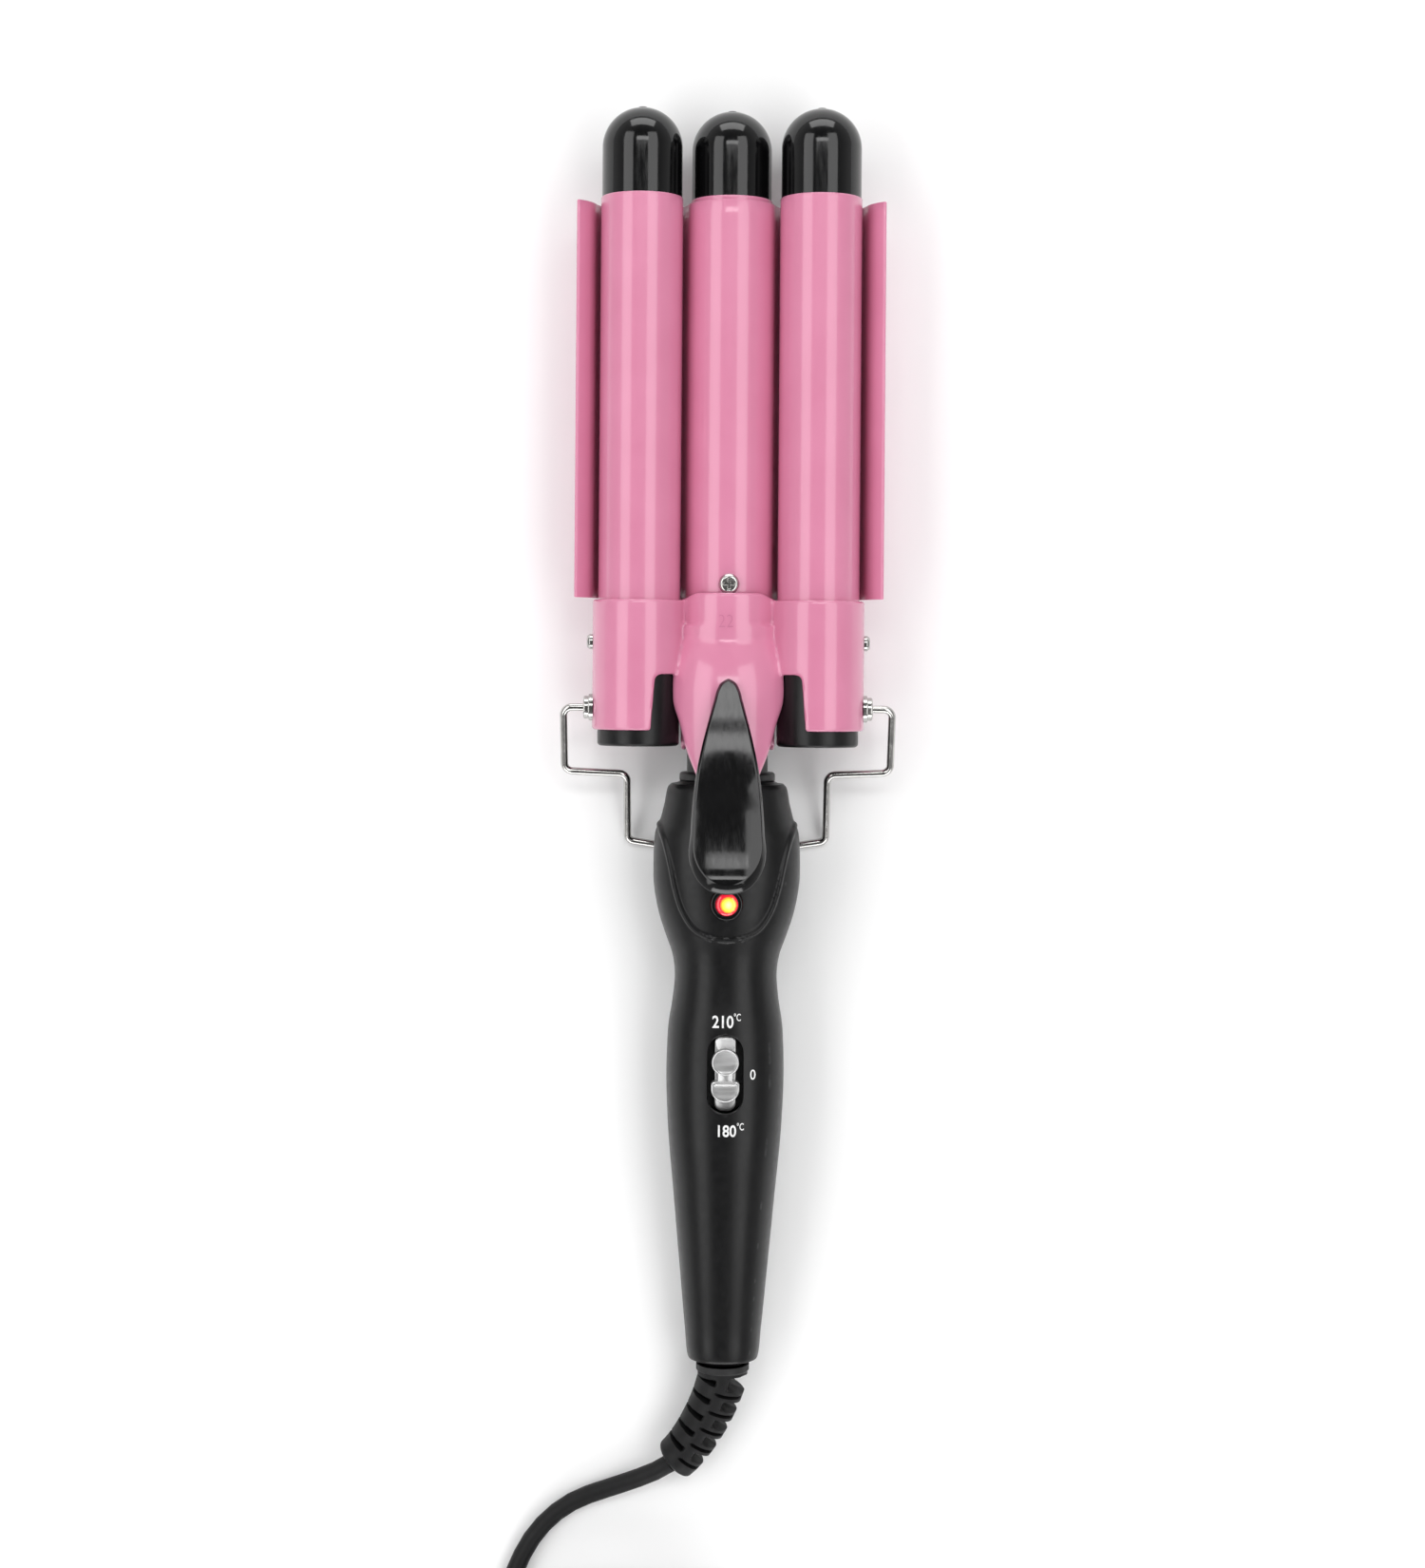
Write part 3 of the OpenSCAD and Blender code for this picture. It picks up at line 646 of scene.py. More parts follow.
def cross_screw(name, place, normal, radius, height, body, slot, *replaced):
    """Domed pan head with a cross recess; normal is the way the head faces."""
    rings, around = 30, 96
    turn = circle(around)
    points = []
    profile = rounded([(radius, -0.05), (radius, height * 0.45, radius * 0.12),
                       (radius * 0.78, height * 0.93, radius * 0.35), (0, height)], 6,
                      closed=False)
    along = distance_along(profile)
    even = np.linspace(0, along[-1], rings)
    outline = np.stack([np.interp(even, along, profile[:, i]) for i in range(2)], axis=1)
    for r, h in outline:
        x, y = r * np.cos(turn), r * np.sin(turn)
        arm = np.minimum(np.abs(x), np.abs(y)) / (radius * 0.13)
        reach = np.maximum(np.abs(x), np.abs(y)) / (radius * 0.6)
        cut = np.clip((1.25 - arm) / 0.4, 0, 1) * np.clip((1.1 - reach) / 0.2, 0, 1)
        points.append(np.stack([x, y, h - cut * height * 0.6], axis=1))
    points = np.concatenate(points)
    up = Vector(normal).to_track_quat("Z", "Y").to_matrix()
    points = points @ np.array(up).T + np.array(place)
    faces = quads(rings, around)
    faces.append(list(range(around))[::-1])
    obj = mesh_object(name, points, faces, 40)
    return dress(obj, body, slot, steel, *replaced)


# ---- clamp ----

dome_front = 26.6
dome_top = 33.3
dome_radius = 20.0
tongue_end = -10.9
neck_room = 11.3


def dome_height(y):
    """Top of the dome along its middle, from its front line back to the tongue."""
    low = axis_z + arch_r - 0.6
    rise_share = np.clip((dome_front - y) / 15, 0, 1)
    back = smooth(-y, [-30, -4, 2, 6, 10.8, 14], [0, 0, 0.75, 1.75, 3.0, 3.8])
    return low + (dome_top - low) * np.sin(rise_share * math.pi / 2) + back


def dome_half_width(y):
    return smooth(-y, [-20, -14, -11, -4.3, 3.5, 10.4, 13],
                  [15.3, 15.15, 15.0, 13.0, 10.8, 8.0, 6.9])


def sleeves_and_arch(x, y, z, bore, from_axis):
    """Tubes round the outer barrels, notched beside the neck, and the arch that joins them."""
    notch_side = 19.5 + 0.9 * np.clip((15 - y) / 12, 0, 1)
    past_notch = smooth_min(16.9 - y, notch_side - x, 2.2)
    sleeve = smooth_max(bore - sleeve_r, past_notch, 0.5)
    sleeve = smooth_max(sleeve, 2.0 - y, 0.9)
    arch = smooth_max(from_axis - arch_r, axis_z - z, 0.3)
    arch = smooth_max(arch, 17.2 - y, 0.5)
    front = 36.7 + 1.9 * ease_step((13.5 - x) / 5.5)
    return smooth_max(smooth_min(sleeve, arch, 1.6), y - front, 0.7)


def casting_field(p):
    """Signed field of the clamp casting: two sleeves, the arch and the dome with its tongue."""
    x, y, z = np.abs(p[..., 0]), p[..., 1], p[..., 2]
    bore = np.hypot(x - pitch, z - jaw_z)
    from_axis = np.hypot(x, z - axis_z)

    top = dome_height(y) - dome_radius
    crown = np.where(z > top, np.hypot(x, z - top), x) - dome_radius
    dome = smooth_max(crown, x - np.where(y > 17, 17.6, dome_half_width(y)), 1.2)
    under = axis_z + np.interp(-y, [0, 4, 7, 11], [12.2, 13.8, 16.6, 19.3]) - 0.016 * x * x
    dome = np.maximum(dome, np.where(y < -3.6, under - z, axis_z - z))
    dome = smooth_max(smooth_max(dome, -10.8 - y, 1.4), y - 30, 0.3)
    pivot_ear = smooth_max(np.hypot(y - 0.3, z - axis_z) - 3.7, x - 12.6, 0.6)
    body = smooth_min(sleeves_and_arch(x, y, z, bore, from_axis), dome, 0.9)
    body = smooth_min(body, pivot_ear, 0.8)

    hollow = from_axis - np.where(y > 16, 12.6, neck_room)
    ceiling = axis_z + np.where(y > 10, 0, 11.8 - 1.18 * y)
    room = np.maximum.reduce([x - neck_room, z - ceiling, y - 18, -y])
    behind = np.maximum.reduce([x - neck_room, y, z - under])
    body = smooth_max(body, -hollow, 0.3)
    body = smooth_max(body, -(bore - barrel_r - 0.05), 0.3)
    return np.maximum.reduce([body, -room, -behind, tongue_end - y])


def clamp_casting():
    low = [-casting.half[0] - 1, -12.5, axis_z - 6.5]
    high = [casting.half[0] + 1, casting.high[1] + 1.5, axis_z + 23.5]
    obj = skinned("clamp_casting_shell", casting_field, low, high, 0.62)
    return dress(obj, "clamp", "pink_enamel", pink, "clamp_casting")


def lever_top(y):
    """Height of the lever's middle line."""
    return smooth(-y, [-16, -13.5, -7, 2, 10.5, 20, 28, 33, 36, 37.5],
                  [34.7, 35.3, 36.6, 38.3, 41.0, 44.8, 47.5, 49.0, 49.9, 50.05])


def lever_crown(x, y):
    """Fall from the lever's middle line to its sides, growing along the spoon."""
    return (0.25 + 0.8 * ease_step(-y / 18)) * (x / 9) ** 2


def band(first, second):
    """Quads between two closed lines of point numbers."""
    return [[first[k - 1], first[k], second[k], second[k - 1]] for k in range(len(first))]


def thumb_lever():
    """Spoon-shaped lever: a crowned top, a thin rim and a bevel that widens at the end."""
    start, end, rows, cols = 15.2, -37.0, 130, 41
    tail_start, widest = 27, 9.0
    knots = [-15.2, -14.4, -13, -10, -6.9, 1.2, 10, 20, tail_start, -end]
    halves = [0.0, 1.35, 2.2, 3.1, 3.95, 6.0, 7.75, 8.75, widest, 0.0]
    turn = np.linspace(0, math.pi, rows)
    ys = (start + end) / 2 + (start - end) / 2 * np.cos(turn)
    tail = np.sqrt(np.clip(1 - ((-ys - tail_start) / (-end - tail_start)) ** 2, 0, 1))
    half = np.where(-ys > tail_start, widest * tail, smooth(-ys, knots, halves))
    half[0] = half[-1] = 0
    across = np.linspace(-1, 1, cols)

    def surface(drop, sink=0.0):
        """The top's grid, lowered by drop; sink hollows its middle."""
        x = half[:, None] * across
        y = np.repeat(ys[:, None], cols, axis=1)
        z = lever_top(ys)[:, None] - lever_crown(x, y) - drop + sink * (1 - across ** 4)
        return np.stack([x, y, z], axis=-1)

    def outline(offset, drop):
        """Closed line round the lever at an outward offset and a drop."""
        right_side = np.stack([half, ys], axis=1)
        left_side = np.stack([-half[::-1], ys[::-1]], axis=1)
        loop = np.concatenate([right_side, left_side[1:-1]])
        ahead = np.roll(loop, -1, axis=0) - np.roll(loop, 1, axis=0)
        out = np.stack([-ahead[:, 1], ahead[:, 0]], axis=1)
        out /= np.linalg.norm(out, axis=1)[:, None]
        tail_share = np.clip((-loop[:, 1] - 24) / 12, 0, 1) ** 1.5
        reach = offset * (1 + 3.2 * tail_share)
        spot = loop + out * reach[:, None]
        z = lever_top(loop[:, 1]) - lever_crown(loop[:, 0], loop[:, 1]) - drop
        return np.column_stack([spot, z])

    points = [surface(0).reshape(-1, 3)]
    faces = quads(rows, cols, wrap=False)
    rim_index = [r * cols + cols - 1 for r in range(rows)] + \
                [r * cols for r in range(rows - 2, 0, -1)]
    around = len(rim_index)
    base = rows * cols
    thick = 2.3
    loops = [(0.04, 0.03), (0.1, 0.12), (0.32, 0.6), (0.6, 1.2), (0.66, 1.5), (0.62, 2.1),
             (0.3, thick)]
    previous = rim_index
    for offset, drop in loops:
        points.append(outline(offset, drop))
        current = list(range(base, base + around))
        faces += band(previous, current)
        previous = current
        base += around
    points.append(surface(thick, 0.4).reshape(-1, 3))
    faces += [[base + v for v in face] for face in quads(rows, cols, wrap=False)]
    faces += band(previous, [base + v for v in rim_index])
    obj = mesh_object("thumb_lever_spoon", np.concatenate(points), faces, 38)
    return dress(obj, "clamp", "gloss_black", gloss, "thumb_lever")


def end_plug(name, x):
    """Plug behind an outer barrel, with rounded rear edge."""
    low, inside = Span(name).low[1], barrel_back + 4
    r = barrel_r - 0.05
    profile = rounded([(0, low + 0.15), (r * 0.55, low + 0.05), (r, low, 1.0), (r, inside),
                       (r - 1, inside), (0, inside)], 8, closed=False)
    return dress(turned(name + "_cap", profile, x, jaw_z, sides=128), "clamp", "gloss_black",
                 satin, name)


def stand_boss(word, side):
    """Rivet head that the stand wire turns in."""
    span = Span("stand_bosses")
    inner, outer = casting.half[0] - 0.25, span.high[0]
    r = span.half[2]
    profile = rounded([(0, inner), (r, inner), (r, inner + 1.15, 0.3), (r - 0.5, inner + 1.25),
                       (r - 0.5, outer, 0.45), (1.5, outer, 0.2), (1.3, outer - 0.4),
                       (0, outer - 0.4)], 6, closed=False)
    profile[:, 1] *= side
    obj = turned("stand_boss_" + word, profile, span.mid[1], jaw_z, axis="x", sides=64)
    return dress(obj, "clamp", "steel", steel, *(["stand_bosses"] if side > 0 else []))


def stand_wire():
    """Bent wire stand: from each pivot back, down and under the handle."""
    half = [(36.6, 7.9, 20, 0), (44.1, 7.9, 20, 2.4), (44.1, -9.4, 12.0, 2.4),
            (27.2, -10.15, 10.7, 2.4), (27.2, -28.7, 1.8, 2.0), (17, -30.3, 1.1, 6.0)]
    mirror = [(-x, y, z, r) for x, y, z, r in half[::-1]]
    route = bent_route(half + mirror)
    obj = tube("stand_wire_bent", route, 1.0, sides=28)
    return dress(obj, "stand", "steel", steel, "stand_wire")


# ---- neck and handle ----

def neck_pieces():
    r, front = barrel_r, barrel_back
    step = collar.low[1]
    profile = rounded([(r - 1.6, step - 3), (r - 0.1, step - 3), (r - 0.1, front - 0.4),
                       (r - 0.3, front), (r - 1.6, front)], 3)
    dress(turned("neck_sleeve", profile, 0, axis_z, sides=128, loop=True), "root",
          "gloss_black", satin, "neck_tube")
    big = collar.half[0]
    profile = rounded([(r - 0.5, collar.low[1] - 0.3), (big, collar.low[1] - 0.3, 0.8),
                       (big, collar.high[1], 0.9), (r - 0.5, collar.high[1])], 8)
    dress(turned("front_collar_ring", profile, 0, axis_z, sides=128, loop=True), "root",
          "gloss_black", satin, "front_collar")


def handle_table():
    """Half width, low and high z of the handle at each station, read from its CAD shells."""
    rows = {}
    for node in ("handle_front_shell", "handle_rear_shell"):
        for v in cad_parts[node].data.vertices:
            x, y, z = (c / MM for c in v.co)
            key = round(y, 2)
            row = rows.setdefault(key, [0.0, 99.0, -99.0, set()])
            row[0] = max(row[0], abs(x))
            row[1] = min(row[1], z)
            row[2] = max(row[2], z)
            row[3].add(node)
    table = [(y, *row[:3]) for y, row in sorted(rows.items())
             if len(row[3]) == 2 and row[0] > 5 and row[2] - row[1] > 12]
    return np.array(table)


stations = handle_table()
flat_sink = 0.6
squareness = 2.3
shell_wall = 2.0
seam_z = 12.0


def handle_at(y):
    """Half width, low z and high z of the handle at y."""
    half = smooth(y, stations[:, 0], stations[:, 1])
    low = smooth(y, stations[:, 0], np.where(stations[:, 2] < 0.05, -flat_sink, stations[:, 2]))
    high = smooth(y, stations[:, 0], stations[:, 3])
    return half, low, high


def ridge_distance(x, y):
    """Distance in plan from the U-shaped bead on the handle's front."""
    route = smooth_route([(18.6, -22.5, 0), (16.6, -27.5, 0), (15.0, -33.5, 0), (13.6, -40, 0),
                          (11.6, -46, 0), (8.4, -50.6, 0), (4.4, -52.7, 0), (0, -53.2, 0)], 0.25)
    spots = np.stack([np.abs(x).ravel(), y.ravel()], axis=1)
    near = np.full(len(spots), 99.0)
    for point in route:
        near = np.minimum(near, np.hypot(spots[:, 0] - point[0], spots[:, 1] - point[1]))
    return near.reshape(x.shape)


def shell_rings(above, ys, around):
    """Outer and inner section points of one shell at each y."""
    power = 2 / squareness
    half, low, high = handle_at(ys)
    mid, tall = (low + high) / 2, (high - low) / 2
    rings = []
    for inset in (0.0, shell_wall):
        level = np.clip((seam_z - mid) / (tall - inset), -0.99, 0.99)
        start = np.arcsin(signed_power(level, 1 / power))
        first, sweep = (start, math.pi - 2 * start) if above else (math.pi - start,
                                                                    math.pi + 2 * start)
        turn = first[:, None] + sweep[:, None] * np.linspace(0, 1, around)
        x = (half - inset)[:, None] * signed_power(np.cos(turn), power)
        z = mid[:, None] + (tall - inset)[:, None] * signed_power(np.sin(turn), power)
        if not above:
            z = np.maximum(z, 0.02 + inset)
        rings.append(np.stack([x, np.repeat(ys[:, None], around, axis=1), z], axis=-1))
    return rings


def handle_shell(above):
    """One moulded half of the handle, eased at its ends, with the bead on the front one."""
    back, front = stations[0][0], stations[-1][0]
    around = 181 if above else 121
    step = 0.45 if above else 1.0
    ys = np.concatenate([back + np.array([0, 0.1, 0.25, 0.5]),
                         np.arange(back + 0.9, front - 1, step),
                         front - np.array([0.55, 0.25, 0.06, 0])])
    outer, inner = shell_rings(above, ys, around)
    across = np.gradient(outer, axis=1)
    along = np.gradient(outer, axis=0)
    normal = np.cross(along, across)
    normal /= np.maximum(np.linalg.norm(normal, axis=2, keepdims=True), 1e-9)
    flip = np.sign((normal[:, around // 2, 2] * (1 if above else -1)).mean())
    normal *= flip
    place = np.linspace(0, 1, around)
    edge = np.minimum(place, 1 - place) * around * 0.35
    ease = -0.22 * np.clip(1 - edge / 0.45, 0, 1)[None, :] ** 2
    ease = ease - 0.9 * np.clip(1 - (front - ys) / 0.9, 0, 1)[:, None] ** 2
    ease -= 1.5 * np.clip(1 - (ys - back) / 2.1, 0, 1)[:, None] ** 1.3
    if above:
        away = ridge_distance(outer[..., 0], outer[..., 1])
        on_top = np.clip((outer[..., 2] - 16) / 3, 0, 1)
        ease += 0.5 * np.exp(-(away / 0.55) ** 4) * on_top
    outer = outer + normal * ease[..., None]
    ring = np.concatenate([outer, inner[:, ::-1]], axis=1)
    count = ring.shape[1]
    faces = quads(len(ys), count)
    last = (len(ys) - 1) * count
    for start in (0, last):
        faces += [[start + k, start + k + 1, start + count - 2 - k, start + count - 1 - k]
                  for k in range(around - 1)]
    name = "handle_front_moulding" if above else "handle_rear_moulding"
    return mesh_object(name, ring.reshape(-1, 3), faces, 32)


def slot_prism(name, half, reach, low, high, flare=0.0, y=0.0):
    """Upright prism with round ends, wider by flare at its top."""
    turn = np.linspace(0, math.pi, 25)
    rings = []
    for z, grow in ((low, 0), (high - 2 * flare if flare else high, 0), (high, flare)):
        r = half + grow
        top = [(r * math.cos(a), y + reach + r * math.sin(a), z) for a in turn]
        bottom = [(-r * math.cos(a), y - reach - r * math.sin(a), z) for a in turn]
        rings.append(top + bottom)
    around = len(rings[0])
    return mesh_object(name, np.array(rings).reshape(-1, 3), quads(3, around) + caps(3, around))


switch_y = guide.mid[1]
slot_half = 4.8
slot_reach = 5.7


def handle_pieces():
    front = handle_shell(True)
    _, _, top = handle_at(np.array([switch_y]))
    slot = slot_prism("slot_cutter", slot_half, slot_reach, 20, float(top[0]) + 1.2, 0.9,
                      switch_y)
    r = bezel.half[0] + 0.15
    lamp = turned("lamp_cutter", [(0, 25), (r, 25), (r, 36), (0, 36)], 0, lens.mid[1], "z", 72)
    cut_out(front, slot, lamp, crease=32)
    dress(front, "root", "matte_black", matte, "handle_front_shell")
    rear = handle_shell(False)
    recesses = []
    for y in screw_places():
        depth = 4.5 if y > -60 else 1.7
        recesses.append(turned("recess", [(0, -1), (2.5, -1), (2.5, depth), (0, depth)], 0, y,
                               "z", 72))
    cut_out(rear, *recesses, crease=32)
    dress(rear, "root", "matte_black", matte, "handle_rear_shell")


def screw_places():
    """Y of each screw in the handle's back, from the CAD screws' vertices."""
    ys = sorted({round(v.co.y / MM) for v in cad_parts["handle_screws"].data.vertices})
    groups = []
    for y in ys:
        if not groups or y - groups[-1][-1] > 6:
            groups.append([])
        groups[-1].append(y)
    return [sum(g) / len(g) for g in groups]


def lamp():
    y, r = lens.mid[1], lens.half[0]
    top = bezel.high[2]
    base = top - 4
    profile = rounded([(r, base), (r, top - 0.15, 0.3), (r * 0.75, top + 0.35, 2),
                       (0, top + 0.5)], 8, closed=False)
    obj = turned("lamp_lens", profile, 0, y, "z", 72)
    dress(obj, "root", "indicator", lit_lens((0.5, y - 0.1, 0)), "led_lens")
    ring = rounded([(r + 0.02, base), (r + 0.02, top + 0.05, 0.2),
                    (bezel.half[0], top + 0.05, 0.4), (bezel.half[0], base)], 6)
    dress(turned("lamp_bezel", ring, 0, y, "z", 72, loop=True), "root", "gloss_black", gloss,
          "led_bezel")


def pad(name, outline, low, top_field, edge=0.35, rim=0.0):
    """Thick plate with a plan outline, a shaped top and rounded edges, as one star of rings."""
    outline = np.asarray(outline, float)
    centre = outline.mean(axis=0)
    rings = []
    for share, drop in ((1, 3.0), (1, edge), (0.985, edge * 0.45), (0.95, edge * 0.12),
                        (0.9, 0), (0.84, 0.02 + rim), (0.8, rim), (0.6, rim), (0.4, rim),
                        (0.2, rim), (0.0, rim)):
        spots = centre + (outline - centre) * share
        z = top_field(spots[:, 0], spots[:, 1]) - drop
        if drop == 3.0:
            z = np.full(len(spots), low)
        rings.append(np.column_stack([spots, z]))
    count = len(outline)
    faces = quads(len(rings), count) + [list(range(count))[::-1]]
    return mesh_object(name, np.concatenate(rings), faces, 40)


def switch():
    """Slider with a round pad above a wide one, on a bright guide deep in the slot."""
    base, top = slider.low[2], slider.high[2]
    y0 = switch_y
    disc_r, disc_y, turn = 3.6, y0 + 3.3, circle(48)
    disc = np.stack([disc_r * np.cos(turn), disc_y + disc_r * np.sin(turn)], axis=1)

    def disc_top(x, y):
        return top - 0.7 * np.clip((y0 + 1.5 - y) / 1.6, 0, 1) - 0.3 * \
            np.clip((y - y0 - 1.5) / 5, 0, 1)

    upper = pad("slider_round_pad", disc, base, disc_top, rim=0.3)
    half, level = 3.75, y0 - 3.5
    bend = [(half * math.cos(a), level - half * math.sin(a)) for a in np.linspace(0, math.pi, 25)]
    wide = rounded([(half, y0 - 1.6, 1.0), (-half, y0 - 1.6, 1.0)] + [tuple(p) for p in bend[::-1]], 8)

    def wide_top(x, y):
        fall = np.clip((y0 - 4.4 - y) / 3.2, 0, 1)
        lift = np.clip((y - y0 + 2.7) / 1.2, 0, 1)
        return top + 0.25 - 0.7 * fall - 0.6 * lift

    lower = pad("slider_wide_pad", wide, base, wide_top, rim=0.3)
    neck_line = rounded([(2.0, y0 + 0.6, 0.4), (-2.0, y0 + 0.6, 0.4), (-2.0, y0 - 2.2, 0.4),
                         (2.0, y0 - 2.2, 0.4)], 4)
    saddle = pad("slider_saddle", neck_line, base - 1.5, lambda x, y: top - 0.9 + 0.12 * x * x)
    for obj in (upper, lower, saddle):
        dress(obj, "slider", "switch_silver", silver)
    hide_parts("switch_slider")
    half, reach = 2.8, 10.1
    plan = rounded([(half, y0 + reach, 1.6), (-half, y0 + reach, 1.6), (-half, y0 - reach, 2.2),
                    (half, y0 - reach, 2.2)], 8)
    bar = pad("switch_guide_bar", plan, guide.low[2],
              lambda x, y: guide.high[2] - 0.1 + 0.05 * x * x - 0.012 * (y - y0) ** 2)
    dress(bar, "root", "switch_silver", silver, "switch_guide")
    floor = slot_prism("switch_slot_floor", slot_half - 0.1, slot_reach, guide.low[2] - 1.2,
                       guide.low[2] - 0.2, y=y0)
    dress(floor, "root", "switch_plastic", dark_plastic)


def handle_top_z(x, y):
    """Height of the handle's front surface at plan points."""
    half, low, high = handle_at(y)
    mid, tall = (low + high) / 2, (high - low) / 2
    share = np.clip(np.abs(x) / half, 0, 0.999)
    return mid + tall * (1 - share ** squareness) ** (1 / squareness)


def label(name, text, height, x, y, body, slot, material, surface, lift=0.05, weight=0.0,
          squeeze=0.86):
    """Thin printed text whose lower left corner is at (x, y), laid on a surface."""
    data = bpy.data.curves.new(name, "FONT")
    data.body = text
    data.size = height / 0.72
    data.offset = weight
    data.resolution_u = 4
    holder = placed(name + "_text", data)
    graph = bpy.context.evaluated_depsgraph_get()
    mesh = bpy.data.meshes.new_from_object(holder.evaluated_get(graph))
    bpy.data.objects.remove(holder)
    work = bmesh.new()
    work.from_mesh(mesh)
    bmesh.ops.triangulate(work, faces=work.faces)
    bmesh.ops.subdivide_edges(work, edges=[e for e in work.edges if e.calc_length() > 0.5],
                              cuts=1)
    work.to_mesh(mesh)
    work.free()
    spots = np.array([v.co[:2] for v in mesh.vertices]) * [squeeze, 1] + [x, y]
    z = surface(spots[:, 0], spots[:, 1]) + lift
    for v, spot, level in zip(mesh.vertices, spots, z):
        v.co = (spot[0] * MM, spot[1] * MM, level * MM)
    mesh.shade_smooth()
    return dress(placed(name, mesh), body, slot, material)


def labels():
    ink = label_ink()

    def printed(name, text, height, x, y, weight=0.08, squeeze=0.86):
        label(name, text, height, x, y, "root", "switch_silver", ink, handle_top_z,
              weight=weight, squeeze=squeeze)

    printed("label_high", "210", 3.2, -3.6, switch_y + 12.4)
    printed("label_high_unit", "°C", 1.9, 2.1, switch_y + 14.2, 0.03, 0.68)
    printed("label_off", "0", 2.7, 6.5, switch_y - 1.3, 0.03)
    printed("label_low", "180", 3.1, -2.5, switch_y - 16.3)
    printed("label_low_unit", "°C", 1.9, 3.1, switch_y - 14.6, 0.03, 0.68)


def size_mark():
    """The raised barrel size on the casting's arch, in a darker pink that is painted shade."""
    def arch(x, y):
        return axis_z + np.sqrt(arch_r ** 2 - np.clip(x, -13, 13) ** 2)
    # Darker pink than the enamel: painted shade, standing in for the shadow that a raised mark
    # catches.
    painted_shade_pink = plain_plastic("size_mark_painted_shade", "B9688A", "C57595", 0.4)
    label("size_mark", "22", 3.6, -2.9, 29.4, "clamp", "pink_enamel", painted_shade_pink, arch,
          lift=0.1, weight=-0.1)


# ---- cord ----

cord_d = 5.0
boot_route = [
    (0, -172, 9.9), (0, -173.4, 9.9), (-0.8, -176.5, 9.6), (-2.4, -181, 9), (-5, -186.5, 8.2),
    (-8.1, -191.7, 7.4), (-11.2, -195.7, 6.7), (-14, -198.4, 6.2)]
cord_route = [
    (-14, -198.4, 6.2), (-17.8, -200.8, 5.4), (-22.4, -203, 4.4), (-27.2, -205, 3.4),
    (-32, -206.8, 2.7), (-37, -208.6, 2.5), (-42, -211, 2.5), (-46.8, -214.6, 2.5),
    (-51, -219.2, 2.5), (-54.4, -224.8, 2.5), (-57.1, -231.2, 2.5), (-59.1, -238.4, 2.5),
    (-60.5, -246.4, 2.5), (-61.4, -255, 2.5), (-61.9, -264.2, 2.5)]
tail_route = [
    (-27, -249, 17.5), (-32.5, -249.7, 17.7), (-37.6, -251.8, 18.2), (-41.9, -255.2, 18.8),
    (-45.2, -259.5, 19.5), (-47.3, -264.6, 20.1), (-48, -270, 20.5), (-48, -275, 20.5)]
coil_centre = (-27, -274)


def coil_points():
    """The stored length: nine turns in three layers, side by side and on one another."""
    radii = [35, 30, 25, 25, 30, 35, 35, 30, 25, 25]
    points = []
    per_turn = 48
    for k in range(int(8.75 * per_turn) + 1):
        turn, share = divmod(k / per_turn, 1)
        turn = int(turn)
        degrees = 360 * share
        radius = radii[turn] + (radii[turn + 1] - radii[turn]) * ease_step((degrees - 300) / 60)
        z = cord_d * (0.5 + turn // 3)
        if turn % 3 == 2 and turn < 8:
            z += cord_d * ease_step((degrees - 240) / 60)
        if turn == 8:
            z += cord_d * ease_step((degrees - 210) / 60)
        angle = math.radians(180 + degrees)
        points.append((coil_centre[0] + radius * math.cos(angle),
                       coil_centre[1] + radius * math.sin(angle), z))
    return np.array(points)


def mains_cord():
    """The whole cord as one curve, from inside the boot's end to the plug."""
    lead = smooth_route(cord_route + [tuple(coil_points()[0])], 5)
    tail = smooth_route(tail_route, 4)
    route = np.concatenate([lead[:-1], coil_points()[:-1], tail])
    data = bpy.data.curves.new("mains_cord", "CURVE")
    data.dimensions = "3D"
    data.bevel_depth = cord_d / 2 * MM
    data.bevel_resolution = 5
    data.use_fill_caps = True
    spline = data.splines.new("POLY")
    spline.points.add(len(route) - 1)
    spline.points.foreach_set("co", np.column_stack([route * MM, np.ones(len(route))]).ravel())
    spline.use_smooth = True
    obj = placed("mains_cord", data)
    dress(obj, "root", "cord_rubber", rubber, "cord_tube", "cord_coil", "cord_tail")
    return obj, distance_along(route)[-1] * MM


